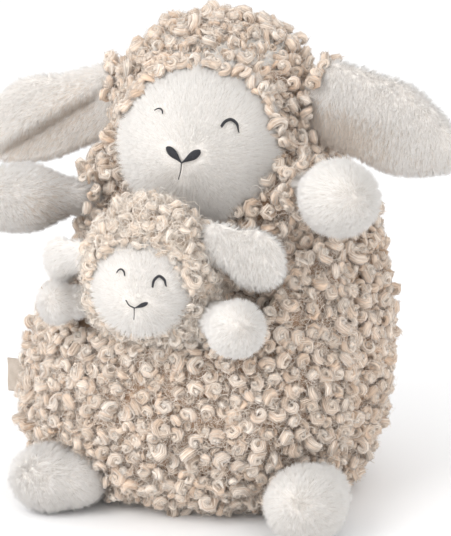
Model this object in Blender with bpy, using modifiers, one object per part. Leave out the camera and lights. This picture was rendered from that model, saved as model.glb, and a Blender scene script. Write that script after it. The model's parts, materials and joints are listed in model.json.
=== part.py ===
"""Plush mother sheep with a lamb in a belly pouch.

Blender 4.5 script, metres, +Z up. The sheep looks along -Y and +X is its own left side. The origin is the
centre of the flat base. Soft shapes are drawn as functions of a few section dimensions, in millimetres, and
each cover is an open sheet of cloth given its thickness with Solidify.
"""

import math

import bmesh
import bpy
import numpy as np
from mathutils import Matrix, Vector

MM = 0.001

# ---------------------------------------------------------------- driving dimensions (mm)
CLOTH = 1.6            # boucle cover: backing and the roots of the pile
PLUSH = 1.4            # white plush covers of the mother's ears, arms and feet
SMALL_PLUSH = 1.1      # the lamb's plush and covers
POUCH_WALL = 3.0       # padded pouch wall
LINING = 0.8
GAP = 0.5              # clearance between separate pieces

# Body sections: height, half width, half depth to the back, centre y, centre x
BODY_SECTIONS = (
    (0, 74, 54, -1, -2),
    (4, 85, 66, -1, -2),
    (10, 95, 77, -2, -3),
    (22, 102, 87, -3, -4),
    (40, 108, 93, -4, -4),
    (60, 110.5, 95, -4, -1),
    (80, 109.5, 96, -1, 1),
    (100, 106, 95, 3, 3),
    (130, 97, 86, 13, 6),
    (150, 89, 79, 19, 8),
    (165, 84, 75, 23, 8),
    (180, 76, 71, 23, 6),
    (190, 71, 69, 22, 5),
    (200, 67, 67, 20, 3),
)
# Front of the pouch: height, y
POUCH_FRONT = (
    (0, -52),
    (10, -78),
    (22, -89),
    (40, -96),
    (60, -99.5),
    (80, -99.5),
    (110, -97),
    (140, -85),
    (165, -62),
)
FRONT_PLANE = -50      # belly and chest behind the pouch and the lamb
CROWN_BASE, CROWN_TOP, CROWN_POWER = 200, 283, 2.5
SEAM = -25             # side seam, degrees round the front half of a section
BASE_EDGE = 2.3        # lower edge of the covers above the base panel

POUCH_RIM = 107
POUCH_FLOOR, POUCH_CORNER = 11, 24
FOOT_DENT = 4          # the pouch gives way where the right foot is sewn on

# Lamb sections: height, half width, half depth, centre y
LAMB_SECTIONS = (
    (16, 25, 6.5, -64.5),
    (22, 36, 11, -65.5),
    (32, 43.5, 13.5, -66.5),
    (60, 46.5, 14.5, -68.5),
    (90, 43, 14, -71),
    (107, 37.5, 13.5, -72.5),
    (114, 36, 17, -79),
    (124, 35, 23.5, -90.5),
    (135, 36, 26, -95),
    (150, 36.5, 26, -97),
)
LAMB_X = 3
LAMB_CROWN, LAMB_TOP = 150, 190

FACE_CENTRE, FACE_RIM, FACE_CURVE = (12, -43, 216), 45, 58
FACE_TURN, FACE_TILT, FACE_ROLL = 10, 12, 9
LAMB_FACE_CENTRE, LAMB_FACE_RIM, LAMB_FACE_CURVE = (8.5, -117.2, 148), 26, 38
LAMB_FACE_TURN, LAMB_FACE_TILT, LAMB_FACE_ROLL = 10, 12, 6


# ---------------------------------------------------------------- scene helpers
for old in list(bpy.data.objects):
    bpy.data.objects.remove(old, do_unlink=True)


def collection(name):
    made = bpy.data.collections.new(name)
    bpy.context.scene.collection.children.link(made)
    return made


PARTS = collection("plush_sheep")
CUTTERS = collection("cutters")


def material(name, colour, roughness=0.95, metallic=0.0):
    made = bpy.data.materials.new(name)
    made.use_nodes = True
    shader = made.node_tree.nodes["Principled BSDF"]
    shader.inputs["Base Color"].default_value = (*colour, 1.0)
    shader.inputs["Roughness"].default_value = roughness
    shader.inputs["Metallic"].default_value = metallic
    made.diffuse_color = (*colour, 1.0)
    return made


BOUCLE = (0.60, 0.49, 0.385)
WHITE = (0.86, 0.83, 0.79)
FIBRE = (0.90, 0.90, 0.90)
CHARCOAL = (0.035, 0.036, 0.042)


def finish(name, bm, colour, pivot=None, group=PARTS, smooth=True):
    """Makes the object from a bmesh in millimetres, with its origin at pivot."""
    origin = Vector(pivot) * MM if pivot is not None else Vector((0, 0, 0))
    for vertex in bm.verts:
        vertex.co = vertex.co * MM - origin
    mesh = bpy.data.meshes.new(name)
    bm.to_mesh(mesh)
    bm.free()
    if smooth:
        mesh.shade_smooth()
    made = bpy.data.objects.new(name, mesh)
    made.location = origin
    group.objects.link(made)
    made.data.materials.append(material(name, colour))
    return made


def solidify(made, thickness):
    modifier = made.modifiers.new("cloth", "SOLIDIFY")
    modifier.thickness = thickness * MM
    modifier.offset = -1.0
    modifier.use_even_offset = False
    modifier.use_rim = True


def face_out(bm):
    """Turns every face of a closed form outwards."""
    bm.normal_update()
    bmesh.ops.recalc_face_normals(bm, faces=bm.faces)


def smooth(low, high, value):
    t = min(1.0, max(0.0, (value - low) / (high - low)))
    return t * t * (3 - 2 * t)


def section(table, z):
    """Smooth values of the table's columns at height z (cubic through the rows)."""
    rows = np.array(table, float)
    heights, values = rows[:, 0], rows[:, 1:]
    slopes = np.gradient(values, heights, axis=0)
    k = int(np.clip(np.searchsorted(heights, z) - 1, 0, len(heights) - 2))
    step = heights[k + 1] - heights[k]
    t = min(1.0, max(0.0, (z - heights[k]) / step))
    return (
        (2 * t**3 - 3 * t**2 + 1) * values[k]
        + (t**3 - 2 * t**2 + t) * step * slopes[k]
        + (-2 * t**3 + 3 * t**2) * values[k + 1]
        + (t**3 - t**2) * step * slopes[k + 1]
    )


# ---------------------------------------------------------------- mother's body
def body_section(z):
    """Half width, back depth, front depth, centre y, centre x and front squareness at height z."""
    if z <= CROWN_BASE:
        a, back, yc, xc = section(BODY_SECTIONS, z)
        return a, back, yc - FRONT_PLANE, yc, xc, 2.0 + 1.0 * (1 - smooth(105, 165, z))
    rise = (z - CROWN_BASE) / (CROWN_TOP - CROWN_BASE)
    c = max(0.0, 1 - rise**CROWN_POWER) ** (1 / CROWN_POWER)
    a, back, yc, xc = section(BODY_SECTIONS, CROWN_BASE)
    front = yc - FRONT_PLANE
    ease = smooth(0, 0.5, rise)
    yc, xc = yc + (15 - yc) * ease, xc + (1 - xc) * ease
    return a * c, back * c, front * c, yc, xc, 2.0


def body_point(angle, z, inset=0.0):
    """A point of the cover's outer face: angle in degrees, 0 at +X, -90 at the front; inset goes inwards."""
    a, back, front, yc, xc, power = body_section(z)
    a, back, front = max(a - inset, 0.3), max(back - inset, 0.3), max(front - inset, 0.3)
    c, s = math.cos(math.radians(angle)), math.sin(math.radians(angle))
    if s >= 0:
        return Vector((xc + a * c, yc + back * s, z))
    e = 2.0 / power
    return Vector((xc + a * math.copysign(abs(c) ** e, c), yc - front * abs(s) ** e, z))


def body_heights(low, count, inset=0.0):
    """Heights from low to the crown, closer together where the head rounds over."""
    heights = [low, 8, 18, 34] + list(np.linspace(56, CROWN_BASE, count - 4))
    for turn in (12, 24, 36, 48, 59, 69, 77.5, 84, 89):
        heights.append(CROWN_BASE + (CROWN_TOP - CROWN_BASE - inset) * math.sin(math.radians(turn)))
    return heights


def body_patch(first, last, columns, low, shift):
    """One open sheet of the cover between two angles, from the base to the crown seam; shift in y opens the seam."""
    bm = bmesh.new()
    heights = body_heights(low, 11)
    bmesh.ops.create_grid(bm, x_segments=columns, y_segments=len(heights) - 1, size=1)
    for vertex in bm.verts:
        u = (vertex.co.x + 1) / 2
        v = int(round((vertex.co.y + 1) / 2 * (len(heights) - 1)))
        vertex.co = body_point(first + (last - first) * u, heights[v]) + Vector((0, shift, 0))
    return bm


def outward(bm, centre):
    """Turns all faces so that they point away from centre."""
    bm.normal_update()
    total = sum((f.calc_center_median() - Vector(centre)).dot(f.normal) for f in bm.faces)
    if total < 0:
        bmesh.ops.reverse_faces(bm, faces=bm.faces)
    return bm


back = body_patch(SEAM, 180 - SEAM, 22, BASE_EDGE, 0.5)
back_panel = finish("back_panel", outward(back, (0, 20, 120)), BOUCLE)
solidify(back_panel, CLOTH)

front = body_patch(SEAM, -180 - SEAM, 16, BASE_EDGE, -0.5)
front_panel = finish("front_panel", outward(front, (0, 20, 120)), BOUCLE)
solidify(front_panel, CLOTH)


def face_frame(centre, turn, tilt, roll):
    """Columns: right as seen from the front, up, outward normal; turn is towards +X, tilt is upwards."""
    t, e, r = math.radians(turn), math.radians(tilt), math.radians(roll)
    normal = Vector((math.sin(t) * math.cos(e), -math.cos(t) * math.cos(e), math.sin(e)))
    right = Vector((math.cos(t), math.sin(t), 0))
    up = normal.cross(right) * -1
    if up.z < 0:
        up = -up
    right2 = right * math.cos(r) - up * math.sin(r)
    up2 = right * math.sin(r) + up * math.cos(r)
    return Vector(centre), right2, up2, normal


FACE = face_frame(FACE_CENTRE, FACE_TURN, FACE_TILT, FACE_ROLL)
LAMB_FACE = face_frame(LAMB_FACE_CENTRE, LAMB_FACE_TURN, LAMB_FACE_TILT, LAMB_FACE_ROLL)


def cylinder_cutter(name, frame, radius, depth, forward=0.0):
    """A drill along the face's normal, centred on the disc's rim plane or moved forward of it."""
    bm = bmesh.new()
    bmesh.ops.create_cone(bm, cap_ends=True, segments=28, radius1=radius, radius2=radius, depth=depth)
    centre, right, up, normal = frame
    turn = Matrix((right, up, normal)).transposed().to_4x4()
    bmesh.ops.transform(bm, matrix=Matrix.Translation(centre + normal * forward) @ turn, verts=bm.verts)
    face_out(bm)
    cutter = finish(name, bm, (0.8, 0.2, 0.2), group=CUTTERS, smooth=False)
    cutter.hide_render = True
    cutter.display_type = "WIRE"
    return cutter


def cut(made, cutter):
    modifier = made.modifiers.new("face_opening", "BOOLEAN")
    modifier.operation = "DIFFERENCE"
    modifier.solver = "EXACT"
    modifier.object = cutter


cut(front_panel, cylinder_cutter("face_cutter", FACE, FACE_RIM + GAP + 0.4, 60))


def dome_point(frame, rim, curve, p, q, lift=0.0):
    """Point of the domed disc at right p, up q, lifted along its own normal."""
    centre, right, up, normal = frame
    base = math.sqrt(curve * curve - rim * rim)
    n = math.sqrt(max(0.0, curve * curve - p * p - q * q))
    direction = (right * p + up * q + normal * n) / curve
    return centre - normal * base + direction * (curve + lift)


def dome(name, frame, rim, curve, cloth):
    bm = bmesh.new()
    bmesh.ops.create_circle(bm, cap_ends=True, cap_tris=True, segments=24, radius=1)
    edges = [e for e in bm.edges if len(e.link_faces) == 2]
    bmesh.ops.subdivide_edges(bm, edges=edges, cuts=3, use_grid_fill=True)
    for vertex in bm.verts:
        r = vertex.co.length
        scale = rim * math.sin(min(1.0, r) * math.pi / 2 * 0.92) / math.sin(math.pi / 2 * 0.92) / r if r > 1e-6 else 0
        p, q = vertex.co.x * scale, vertex.co.y * scale
        vertex.co = dome_point(frame, rim, curve, p, q)
    face_out(bm)
    outward(bm, frame[0] - frame[3] * 40)
    made = finish(name, bm, WHITE)
    solidify(made, cloth)
    return made


dome("face_panel", FACE, FACE_RIM, FACE_CURVE, PLUSH)


def thread(name, points, radius, pivot=None):
    """A row of embroidery: a round cord through the points, with filled caps."""
    curve = bpy.data.curves.new(name, "CURVE")
    curve.dimensions = "3D"
    curve.bevel_depth = radius * MM
    curve.bevel_resolution = 1
    curve.use_fill_caps = True
    for line in points:
        spline = curve.splines.new("POLY")
        spline.points.add(len(line) - 1)
        for k, point in enumerate(line):
            spline.points[k].co = (*(Vector(point) * MM), 1)
    made = bpy.data.objects.new(name, curve)
    PARTS.objects.link(made)
    made.data.materials.append(material(name, CHARCOAL, 0.6))
    return made


def arc_on(frame, rim, curve, centre, half, rise, lift, turn=0.0, count=6):
    """Closed-eye arc, bulging upwards, as points on the dome."""
    points = []
    for k in range(count):
        t = -1 + 2 * k / (count - 1)
        x, y = half * t, rise * (1 - t * t) - rise / 2
        c, s = math.cos(math.radians(turn)), math.sin(math.radians(turn))
        points.append(dome_point(frame, rim, curve, centre[0] + x * c - y * s, centre[1] + x * s + y * c, lift))
    return points


def line_on(frame, rim, curve, start, end, lift, count=4):
    return [
        dome_point(frame, rim, curve, start[0] + (end[0] - start[0]) * k / (count - 1), start[1] + (end[1] - start[1]) * k / (count - 1), lift)
        for k in range(count)
    ]


F = (FACE, FACE_RIM, FACE_CURVE)
STITCH = 0.6
thread("eye_embroidery_left", [arc_on(*F, (19.6, 12.4), 4.8, 4.6, STITCH + 0.3)], STITCH)
thread("eye_embroidery_right", [arc_on(*F, (-21.6, 12.6), 4.6, 4.2, STITCH + 0.3)], STITCH)
thread("mouth_embroidery", [line_on(*F, (-3.3, -15.0), (-3.4, -21.8), STITCH + 0.3)], STITCH)

# The nose is a satin-stitched V: two leaves drawn as one bent pad that narrows to its outer ends
bm = bmesh.new()
bmesh.ops.create_cube(bm, size=1)
bmesh.ops.subdivide_edges(bm, edges=[e for e in bm.edges if abs((e.verts[0].co - e.verts[1].co).x) > 0.5], cuts=5)
for vertex in bm.verts:
    x, y, z = vertex.co
    t = x * 2
    wide = 1.5 * (1 - 0.75 * abs(t) ** 2.2) + 0.15
    vertex.co = dome_point(*F, -3.3 + 8.8 * t, -12.6 + 5.8 * abs(t) + y * 2 * wide, 0.35 + (z + 0.5) * 1.0)
face_out(bm)
finish("nose_embroidery", bm, CHARCOAL)

# ---------------------------------------------------------------- base, pouch and inner pieces
bm = bmesh.new()
bmesh.ops.create_cone(bm, cap_ends=True, segments=36, radius1=1, radius2=1, depth=1)
base_a, base_b, base_yc, base_xc = section(BODY_SECTIONS, 1.5)
for vertex in bm.verts:
    vertex.co = Vector(
        (base_xc + vertex.co.x * (base_a - 0.5), base_yc + vertex.co.y * (base_b - 0.5), (vertex.co.z + 0.5) * CLOTH)
    )
finish("base_panel", bm, BOUCLE, smooth=False)


def rim_height(x):
    """Upper edge of the pouch: low in front of the lamb, rising to the side seams."""
    return POUCH_RIM + 45 * smooth(52, 88, x) + 7 * smooth(85, 106, x) + 13 * smooth(62, 106, -x)


def pouch_outer(u, z):
    """Outer face of the pouch wall; u runs from -1 at the right seam to +1 at the left seam."""
    a, full, front, yc, xc, power = body_section(z)
    reach = math.cos(math.radians(SEAM)) ** (2.0 / power)
    x = a * reach * math.sin(u * math.pi / 2 * 0.86) / math.sin(math.pi / 2 * 0.86)
    share = abs(x / a)
    rest = 1 - share**power
    lean = front / a * share ** (power - 1) * rest ** (1 / power - 1)
    body = -front * rest ** (1 / power) - (POUCH_WALL + LINING + 1.6) * math.sqrt(1 + lean * lean)
    swell = (float(section(POUCH_FRONT, z)[0]) - yc) * math.sqrt(1 - share * share)
    mix = 0.5 * (body + swell) - 0.5 * math.sqrt((body - swell) ** 2 + 9)
    dent = FOOT_DENT * math.exp(-(((xc + x + 56) / 24) ** 2)) * smooth(3, 12, z) * (1 - smooth(28, 46, z))
    return Vector((xc + x, yc + mix + dent, z))


def pouch_point(u, z, inset=0.0):
    """A point that lies inset behind the outer face, square to it."""
    point = pouch_outer(u, z)
    if not inset:
        return point
    across = pouch_outer(u + 0.01, z) - pouch_outer(u - 0.01, z)
    upward = pouch_outer(u, z + 0.5) - pouch_outer(u, z - 0.5)
    normal = across.cross(upward).normalized()
    if normal.y > 0:
        normal = -normal
    return point - normal * inset


def sheet(name, columns, rows, place, colour, cloth, centre):
    bm = bmesh.new()
    bmesh.ops.create_grid(bm, x_segments=columns, y_segments=rows, size=1)
    for vertex in bm.verts:
        vertex.co = place(vertex.co.x, (vertex.co.y + 1) / 2)
    face_out(bm)
    made = finish(name, outward(bm, centre), colour)
    solidify(made, cloth)
    return made


def pouch_wall(u, v):
    top = rim_height(pouch_point(u, 100).x)
    return pouch_point(u, BASE_EDGE + (top - BASE_EDGE) * v**1.4)


sheet("pouch_panel", 24, 12, pouch_wall, BOUCLE, POUCH_WALL, (0, -45, 50))


def pouch_inside(u, v):
    """The lining: floor from the belly to the wall, a rounded corner, then up the wall."""
    inset = POUCH_WALL + 1.3
    top = rim_height(pouch_point(u, 100).x) - 1.5
    if v >= 0.3:
        return pouch_point(u * 0.96, POUCH_CORNER + (top - POUCH_CORNER) * (v - 0.3) / 0.7, inset)
    turn = v / 0.3 * math.pi / 2
    z = POUCH_FLOOR + (POUCH_CORNER - POUCH_FLOOR) * (1 - math.cos(turn))
    wall = pouch_point(u * (0.96 - 0.42 * math.cos(turn)), z, inset + 0.6 * math.cos(turn))
    a, full, front_depth, yc, xc, power = body_section(z)
    share = min(0.96, abs((wall.x - xc) / a))
    belly = max(yc - front_depth * (1 - share**power) ** (1 / power) - 3.4, wall.y + 0.05)
    return Vector((wall.x, belly + (wall.y - belly) * math.sin(turn), z))


sheet("pouch_lining", 24, 13, pouch_inside, (0.72, 0.66, 0.58), LINING, (0, -66, 60))


def rounded(name, place, colour, columns=20, rows=12, pivot=None, open_top=0.0, cloth=0.0):
    """A closed form from a UV sphere: place(angle in degrees, share from bottom to top) gives each point."""
    bm = bmesh.new()
    bmesh.ops.create_uvsphere(bm, u_segments=columns, v_segments=rows, radius=1)
    if open_top:
        tops = [f for f in bm.faces if f.calc_center_median().z > open_top]
        bmesh.ops.delete(bm, geom=tops, context="FACES")
    for vertex in bm.verts:
        polar = math.degrees(math.acos(max(-1.0, min(1.0, vertex.co.z))))
        angle = math.degrees(math.atan2(vertex.co.y, vertex.co.x))
        vertex.co = place(angle, polar)
    face_out(bm)
    outward(bm, sum((v.co for v in bm.verts), Vector()) / len(bm.verts))
    made = finish(name, bm, colour, pivot)
    if cloth:
        solidify(made, cloth)
    return made


STUFFING_LOW = 31


def stuffing_point(angle, polar):
    """Fibre fill of head and body, 4.8 mm inside the outer face of the covers, flat underneath."""
    inset = CLOTH + 3.2
    top = CROWN_TOP - inset
    if polar < 1e-3:
        a, full, front_depth, yc, xc, power = body_section(top - 0.1)
        return Vector((xc, yc, top))
    if polar > 179.99:
        return Vector((0, 20, STUFFING_LOW))
    share = (180 - polar) / 180
    if share < 0.12:
        edge = body_point(angle, STUFFING_LOW + 4, inset)
        core = Vector((0, 20, STUFFING_LOW))
        k = 0.93 * math.sin(share / 0.12 * math.pi / 2)
        return Vector((core.x + (edge.x - core.x) * k, core.y + (edge.y - core.y) * k, STUFFING_LOW))
    if share < 0.62:
        return body_point(angle, STUFFING_LOW + 4 + (CROWN_BASE - STUFFING_LOW - 4) * (share - 0.12) / 0.5, inset)
    rise = math.sin((share - 0.62) / 0.38 * math.pi / 2)
    return body_point(angle, CROWN_BASE + (CROWN_TOP - inset - CROWN_BASE - 0.3) * rise, inset)


fill = rounded("body_stuffing", stuffing_point, FIBRE, 24, 16)
cut(fill, cylinder_cutter("fill_cutter", FACE, FACE_RIM + 1.5, 40, 20 - PLUSH - 1.4))


def bag_point(inset):
    def place(angle, polar):
        c, s = math.cos(math.radians(angle)), math.sin(math.radians(angle))
        ring, level = math.sin(math.radians(polar)) ** 0.55, math.cos(math.radians(polar))
        lift = math.copysign(abs(level) ** 0.9, level)
        return Vector(((76 - inset) * ring * c, 12 + (52 - inset) * ring * s, 16.5 + (13.4 - inset) * lift))

    return place


rounded("pellet_bag", bag_point(0), (0.88, 0.87, 0.83), 22, 12, open_top=0.93, cloth=0.8)
rounded("pellet_fill", bag_point(1.8), (0.80, 0.80, 0.78), 22, 10)

# Woven tab folded in half and sewn into the right side seam, left bare
bm = bmesh.new()
bmesh.ops.create_cube(bm, size=1)
for vertex in bm.verts:
    vertex.co = Vector((-111.6 + vertex.co.x * 13, -37.5 + vertex.co.y * 1.1, 61 + vertex.co.z * 21))
label = finish("side_label", bm, (0.74, 0.68, 0.58), smooth=False)
bevel = label.modifiers.new("fold", "BEVEL")
bevel.width = 0.4 * MM
bevel.segments = 2

# ---------------------------------------------------------------- limbs


class Limb:
    """A stuffed limb: hemispherical root about its pivot, a bulge, then a rounded tip."""

    def __init__(self, pivot, along, thin, root, bulge, thin_root, thin_bulge, at, length, bend=0.0):
        self.pivot = Vector(pivot)
        self.along = Vector(along).normalized()
        self.thin = (Vector(thin) - self.along * Vector(thin).dot(self.along)).normalized()
        self.wide = self.along.cross(self.thin)
        self.root, self.bulge, self.thin_root, self.thin_bulge = root, bulge, thin_root, thin_bulge
        self.at, self.length, self.bend = at, length, bend

    def place(self, inset):
        root, length = self.root - inset, self.length - inset

        def point(angle, polar):
            along = -root + (length + root) * (1 - math.cos(math.radians(polar))) / 2
            if along < 0:
                ease = math.sqrt(max(0.0, 1 - (along / root) ** 2))
                w, t = root * ease, (self.thin_root - inset) * ease
            elif along < self.at:
                k = smooth(0, self.at, along)
                w = root + (self.bulge - inset - root) * k
                t = self.thin_root - inset + (self.thin_bulge - self.thin_root) * k
            else:
                ease = math.sqrt(max(0.0, 1 - ((along - self.at) / (length - self.at)) ** 2))
                w, t = (self.bulge - inset) * ease, (self.thin_bulge - inset) * ease
            c, s = math.cos(math.radians(angle)), math.sin(math.radians(angle))
            sag = -self.bend * max(0.0, along / self.length) ** 2
            return self.pivot + self.along * along + self.wide * (w * c + sag) + self.thin * (t * s)

        return point


def limb(name, shape, cloth, columns, rows):
    """Cover, open at its root where it is sewn on, and the fill inside it."""
    room = 1.3 if "ear" in name else 0.8
    bm = bmesh.new()
    bmesh.ops.create_uvsphere(bm, u_segments=columns, v_segments=rows, radius=1)
    seam = [f for f in bm.faces if f.calc_center_median().z > 0.9]
    bmesh.ops.delete(bm, geom=seam, context="FACES")
    point = shape.place(0)
    for vertex in bm.verts:
        polar = math.degrees(math.acos(max(-1.0, min(1.0, vertex.co.z))))
        vertex.co = point(math.degrees(math.atan2(vertex.co.y, vertex.co.x)), polar)
    face_out(bm)
    outward(bm, shape.pivot + shape.along * shape.length * 0.4)
    cover = finish(name + "_cover", bm, WHITE, shape.pivot)
    solidify(cover, cloth)
    fill = rounded(name + "_stuffing", shape.place(cloth + room), FIBRE, columns, rows, shape.pivot)
    joint = bpy.data.objects.new(name + "_pivot", None)
    joint.empty_display_size = 0.01
    joint.location = shape.pivot * MM
    PARTS.objects.link(joint)
    for made in (cover, fill):
        made.parent = joint
        made.location = (0, 0, 0)
    return joint


MOTHER_LIMBS = {
    "ear_left": Limb((92, 5, 230), (0.952, 0, -0.306), (0, 1, 0), 25, 26.5, 9, 10, 21, 69),
    "ear_right": Limb((-85.5, 5, 221.9), (-0.945, 0, -0.328), (0, 1, 0), 22, 24, 9, 10, 26, 76.5),
    "arm_left": Limb((68.4, -40.3, 196.4), (0.80, -0.60, -0.03), (0, 0, 1), 15, 22, 15, 21.5, 46, 71.5),
    "arm_right": Limb((-58.6, -44, 178.7), (-0.82, -0.57, 0.02), (0, 0, 1), 15, 22, 15, 21.5, 49, 79.5),
    "foot_left": Limb((94, -63.5, 21), (-0.06, -0.99, 0.02), (0, 0, 1), 16, 21.5, 16, 20.5, 18, 42),
    "foot_right": Limb((-50, -88.5, 20), (-0.93, -0.37, 0.01), (0, 0, 1), 10.5, 20.5, 10.5, 19.5, 15, 35),
}
LAMB_LIMBS = {
    "baby_ear_left": Limb((51, -96, 169), (0.95, 0.0, -0.31), (0, 1, 0), 12, 17, 5, 5.5, 15, 35),
    "baby_ear_right": Limb((-43.6, -93, 154), (-0.86, 0.42, -0.30), (0.42, 0.86, 0), 9.5, 13, 4.5, 5, 12, 27),
    "baby_arm_left": Limb((50, -104, 129), (0.82, -0.57, -0.04), (0, 0, 1), 10, 16, 9.5, 15.5, 15, 31),
    "baby_arm_right": Limb((-42, -101, 130), (-0.85, -0.52, 0.0), (0, 0, 1), 9.5, 12.5, 9, 12, 10, 24),
}
FIXED_LIMBS = {
    "baby_foot_left": Limb((50.5, -59, 31), (0.97, -0.08, -0.05), (0, 0, 1), 5.3, 5.3, 5.3, 5.3, 2, 6.2),
    "baby_foot_right": Limb((-44.5, -59, 32), (-0.97, -0.08, -0.05), (0, 0, 1), 5.3, 5.3, 5.3, 5.3, 2, 6.2),
}

for name, shape in MOTHER_LIMBS.items():
    limb(name, shape, PLUSH, 14, 9)
for name, shape in LAMB_LIMBS.items():
    limb(name, shape, SMALL_PLUSH, 12, 8)
for name, shape in FIXED_LIMBS.items():
    limb(name, shape, SMALL_PLUSH, 10, 7)

# ---------------------------------------------------------------- lamb


def lamb_section(z):
    if z <= LAMB_CROWN:
        return section(LAMB_SECTIONS, z)
    rise = (z - LAMB_CROWN) / (LAMB_TOP - LAMB_CROWN)
    c = math.sqrt(max(0.0, 1 - rise * rise))
    a, b, yc = section(LAMB_SECTIONS, LAMB_CROWN)
    return a * c, b * c, yc + 1.0 * rise


def lamb_point(angle, z, inset=0.0):
    a, b, yc = lamb_section(z)
    a, b = max(a - inset, 0.3), max(b - inset, 0.3)
    return Vector((LAMB_X + a * math.cos(math.radians(angle)), yc + b * math.sin(math.radians(angle)), z))


def lamb_heights(inset=0.0):
    heights = [16 + inset, 20, 26, 36, 52, 72, 90, 100, 107, 113, 119, 127, 138, 150]
    for turn in (14, 28, 42, 56, 69, 80, 88):
        heights.append(LAMB_CROWN + (LAMB_TOP - LAMB_CROWN - inset) * math.sin(math.radians(turn)))
    return heights


def lamb_cover(name, first, last, shift):
    bm = bmesh.new()
    heights = lamb_heights()
    bmesh.ops.create_grid(bm, x_segments=10, y_segments=len(heights) - 1, size=1)
    for vertex in bm.verts:
        u = (vertex.co.x + 1) / 2
        v = int(round((vertex.co.y + 1) / 2 * (len(heights) - 1)))
        vertex.co = lamb_point(first + (last - first) * u, heights[v]) + Vector((0, shift, 0))
    made = finish(name, outward(bm, (LAMB_X, -80, 100)), BOUCLE, (LAMB_X, -70, 16))
    solidify(made, SMALL_PLUSH)
    return made


lamb_back = lamb_cover("baby_cover_back", 0, 180, 0.95)
lamb_front = lamb_cover("baby_cover_front", 0, -180, -0.95)
cut(lamb_front, cylinder_cutter("lamb_face_cutter", LAMB_FACE, LAMB_FACE_RIM + GAP + 0.3, 26))


def lamb_fill_point(angle, polar):
    inset = SMALL_PLUSH + 2.3
    heights = lamb_heights(inset)
    if polar < 1e-3:
        return Vector((LAMB_X, lamb_section(LAMB_TOP - 2)[2], LAMB_TOP - inset))
    if polar > 179.99:
        return Vector((LAMB_X, -64.5, 16 + inset))
    share = (180 - polar) / 180 * (len(heights) - 1)
    k = min(len(heights) - 2, int(share))
    z = heights[k] + (heights[k + 1] - heights[k]) * (share - k)
    return lamb_point(angle, z, inset)


lamb_fill = rounded("baby_stuffing", lamb_fill_point, FIBRE, 20, 18, (LAMB_X, -70, 16))
cut(lamb_fill, cylinder_cutter("lamb_fill_cutter", LAMB_FACE, LAMB_FACE_RIM + 2.5, 20, 10 - SMALL_PLUSH - 1.2))
dome("baby_face_panel", LAMB_FACE, LAMB_FACE_RIM, LAMB_FACE_CURVE, SMALL_PLUSH)
L = (LAMB_FACE, LAMB_FACE_RIM, LAMB_FACE_CURVE)
FINE = 0.5
thread("baby_eye_embroidery_left", [arc_on(*L, (11.6, 4.6), 3.4, 3.2, FINE + 0.3)], FINE)
thread("baby_eye_embroidery_right", [arc_on(*L, (-9.4, 6.0), 2.6, 2.2, FINE + 0.3)], FINE)
thread("baby_mouth_embroidery", [line_on(*L, (0.5, -12.6), (0.6, -17.0), FINE + 0.3)], FINE)
bm = bmesh.new()
bmesh.ops.create_cube(bm, size=1)
bmesh.ops.subdivide_edges(bm, edges=[e for e in bm.edges if abs((e.verts[0].co - e.verts[1].co).x) > 0.5], cuts=5)
for vertex in bm.verts:
    x, y, z = vertex.co
    t = x * 2
    wide = 0.95 * (1 - 0.7 * abs(t) ** 2.2) + 0.12
    vertex.co = dome_point(*L, 0.6 + 5.8 * t, -11.0 + 3.1 * abs(t) + y * 2 * wide, 0.35 + (z + 0.5) * 0.8)
face_out(bm)
finish("baby_nose_embroidery", bm, CHARCOAL)
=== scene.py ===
"""Visual model of the plush mother sheep with a lamb in her belly pouch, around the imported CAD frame.

Lengths in this file are millimetres in the row frame unless a name says otherwise; meshes are made in metres.
The soft shapes repeat the section tables of the CAD source, drawn finer, and carry the curls and the pile as
real geometry.
"""

import json
import math

import bpy
import numpy as np
from mathutils import Matrix, Vector
from mathutils.kdtree import KDTree

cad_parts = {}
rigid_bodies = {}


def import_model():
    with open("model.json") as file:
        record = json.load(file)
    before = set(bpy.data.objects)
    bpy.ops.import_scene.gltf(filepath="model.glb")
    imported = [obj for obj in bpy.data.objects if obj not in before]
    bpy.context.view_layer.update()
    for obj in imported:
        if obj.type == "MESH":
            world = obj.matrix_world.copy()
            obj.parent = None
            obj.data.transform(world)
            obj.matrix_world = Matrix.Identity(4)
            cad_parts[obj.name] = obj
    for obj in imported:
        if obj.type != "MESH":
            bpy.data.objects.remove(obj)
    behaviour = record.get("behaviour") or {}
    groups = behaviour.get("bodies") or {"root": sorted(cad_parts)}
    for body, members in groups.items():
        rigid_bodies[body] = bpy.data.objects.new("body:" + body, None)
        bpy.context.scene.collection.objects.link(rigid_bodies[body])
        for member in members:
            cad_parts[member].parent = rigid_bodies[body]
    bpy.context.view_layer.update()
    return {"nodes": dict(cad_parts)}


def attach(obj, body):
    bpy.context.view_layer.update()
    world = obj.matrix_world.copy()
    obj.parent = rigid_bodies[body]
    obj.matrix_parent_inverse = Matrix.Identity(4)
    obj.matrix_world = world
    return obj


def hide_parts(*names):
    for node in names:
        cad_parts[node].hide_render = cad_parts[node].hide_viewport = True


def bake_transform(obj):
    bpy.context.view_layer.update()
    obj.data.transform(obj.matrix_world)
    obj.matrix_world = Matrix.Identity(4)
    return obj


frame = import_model()
MM = 0.001

# ---------------------------------------------------------------- dimensions repeated from the CAD source (mm)
CROWN_BASE, CROWN_TOP, CROWN_POWER = 200, 283, 2.5
FRONT_PLANE, SEAM, BASE_EDGE = -50, -25, 2.3
POUCH_RIM, POUCH_WALL, LINING = 107, 3.0, 0.8
POUCH_FLOOR, POUCH_CORNER = 11, 24
FOOT_DENT = 4
LAMB_X, LAMB_CROWN, LAMB_TOP = 3, 150, 190
CLOTH, PLUSH, SMALL_PLUSH = 1.6, 1.4, 1.1


def smooth(low, high, value):
    t = np.clip((np.asarray(value, float) - low) / (high - low), 0, 1)
    return t * t * (3 - 2 * t)


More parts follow.
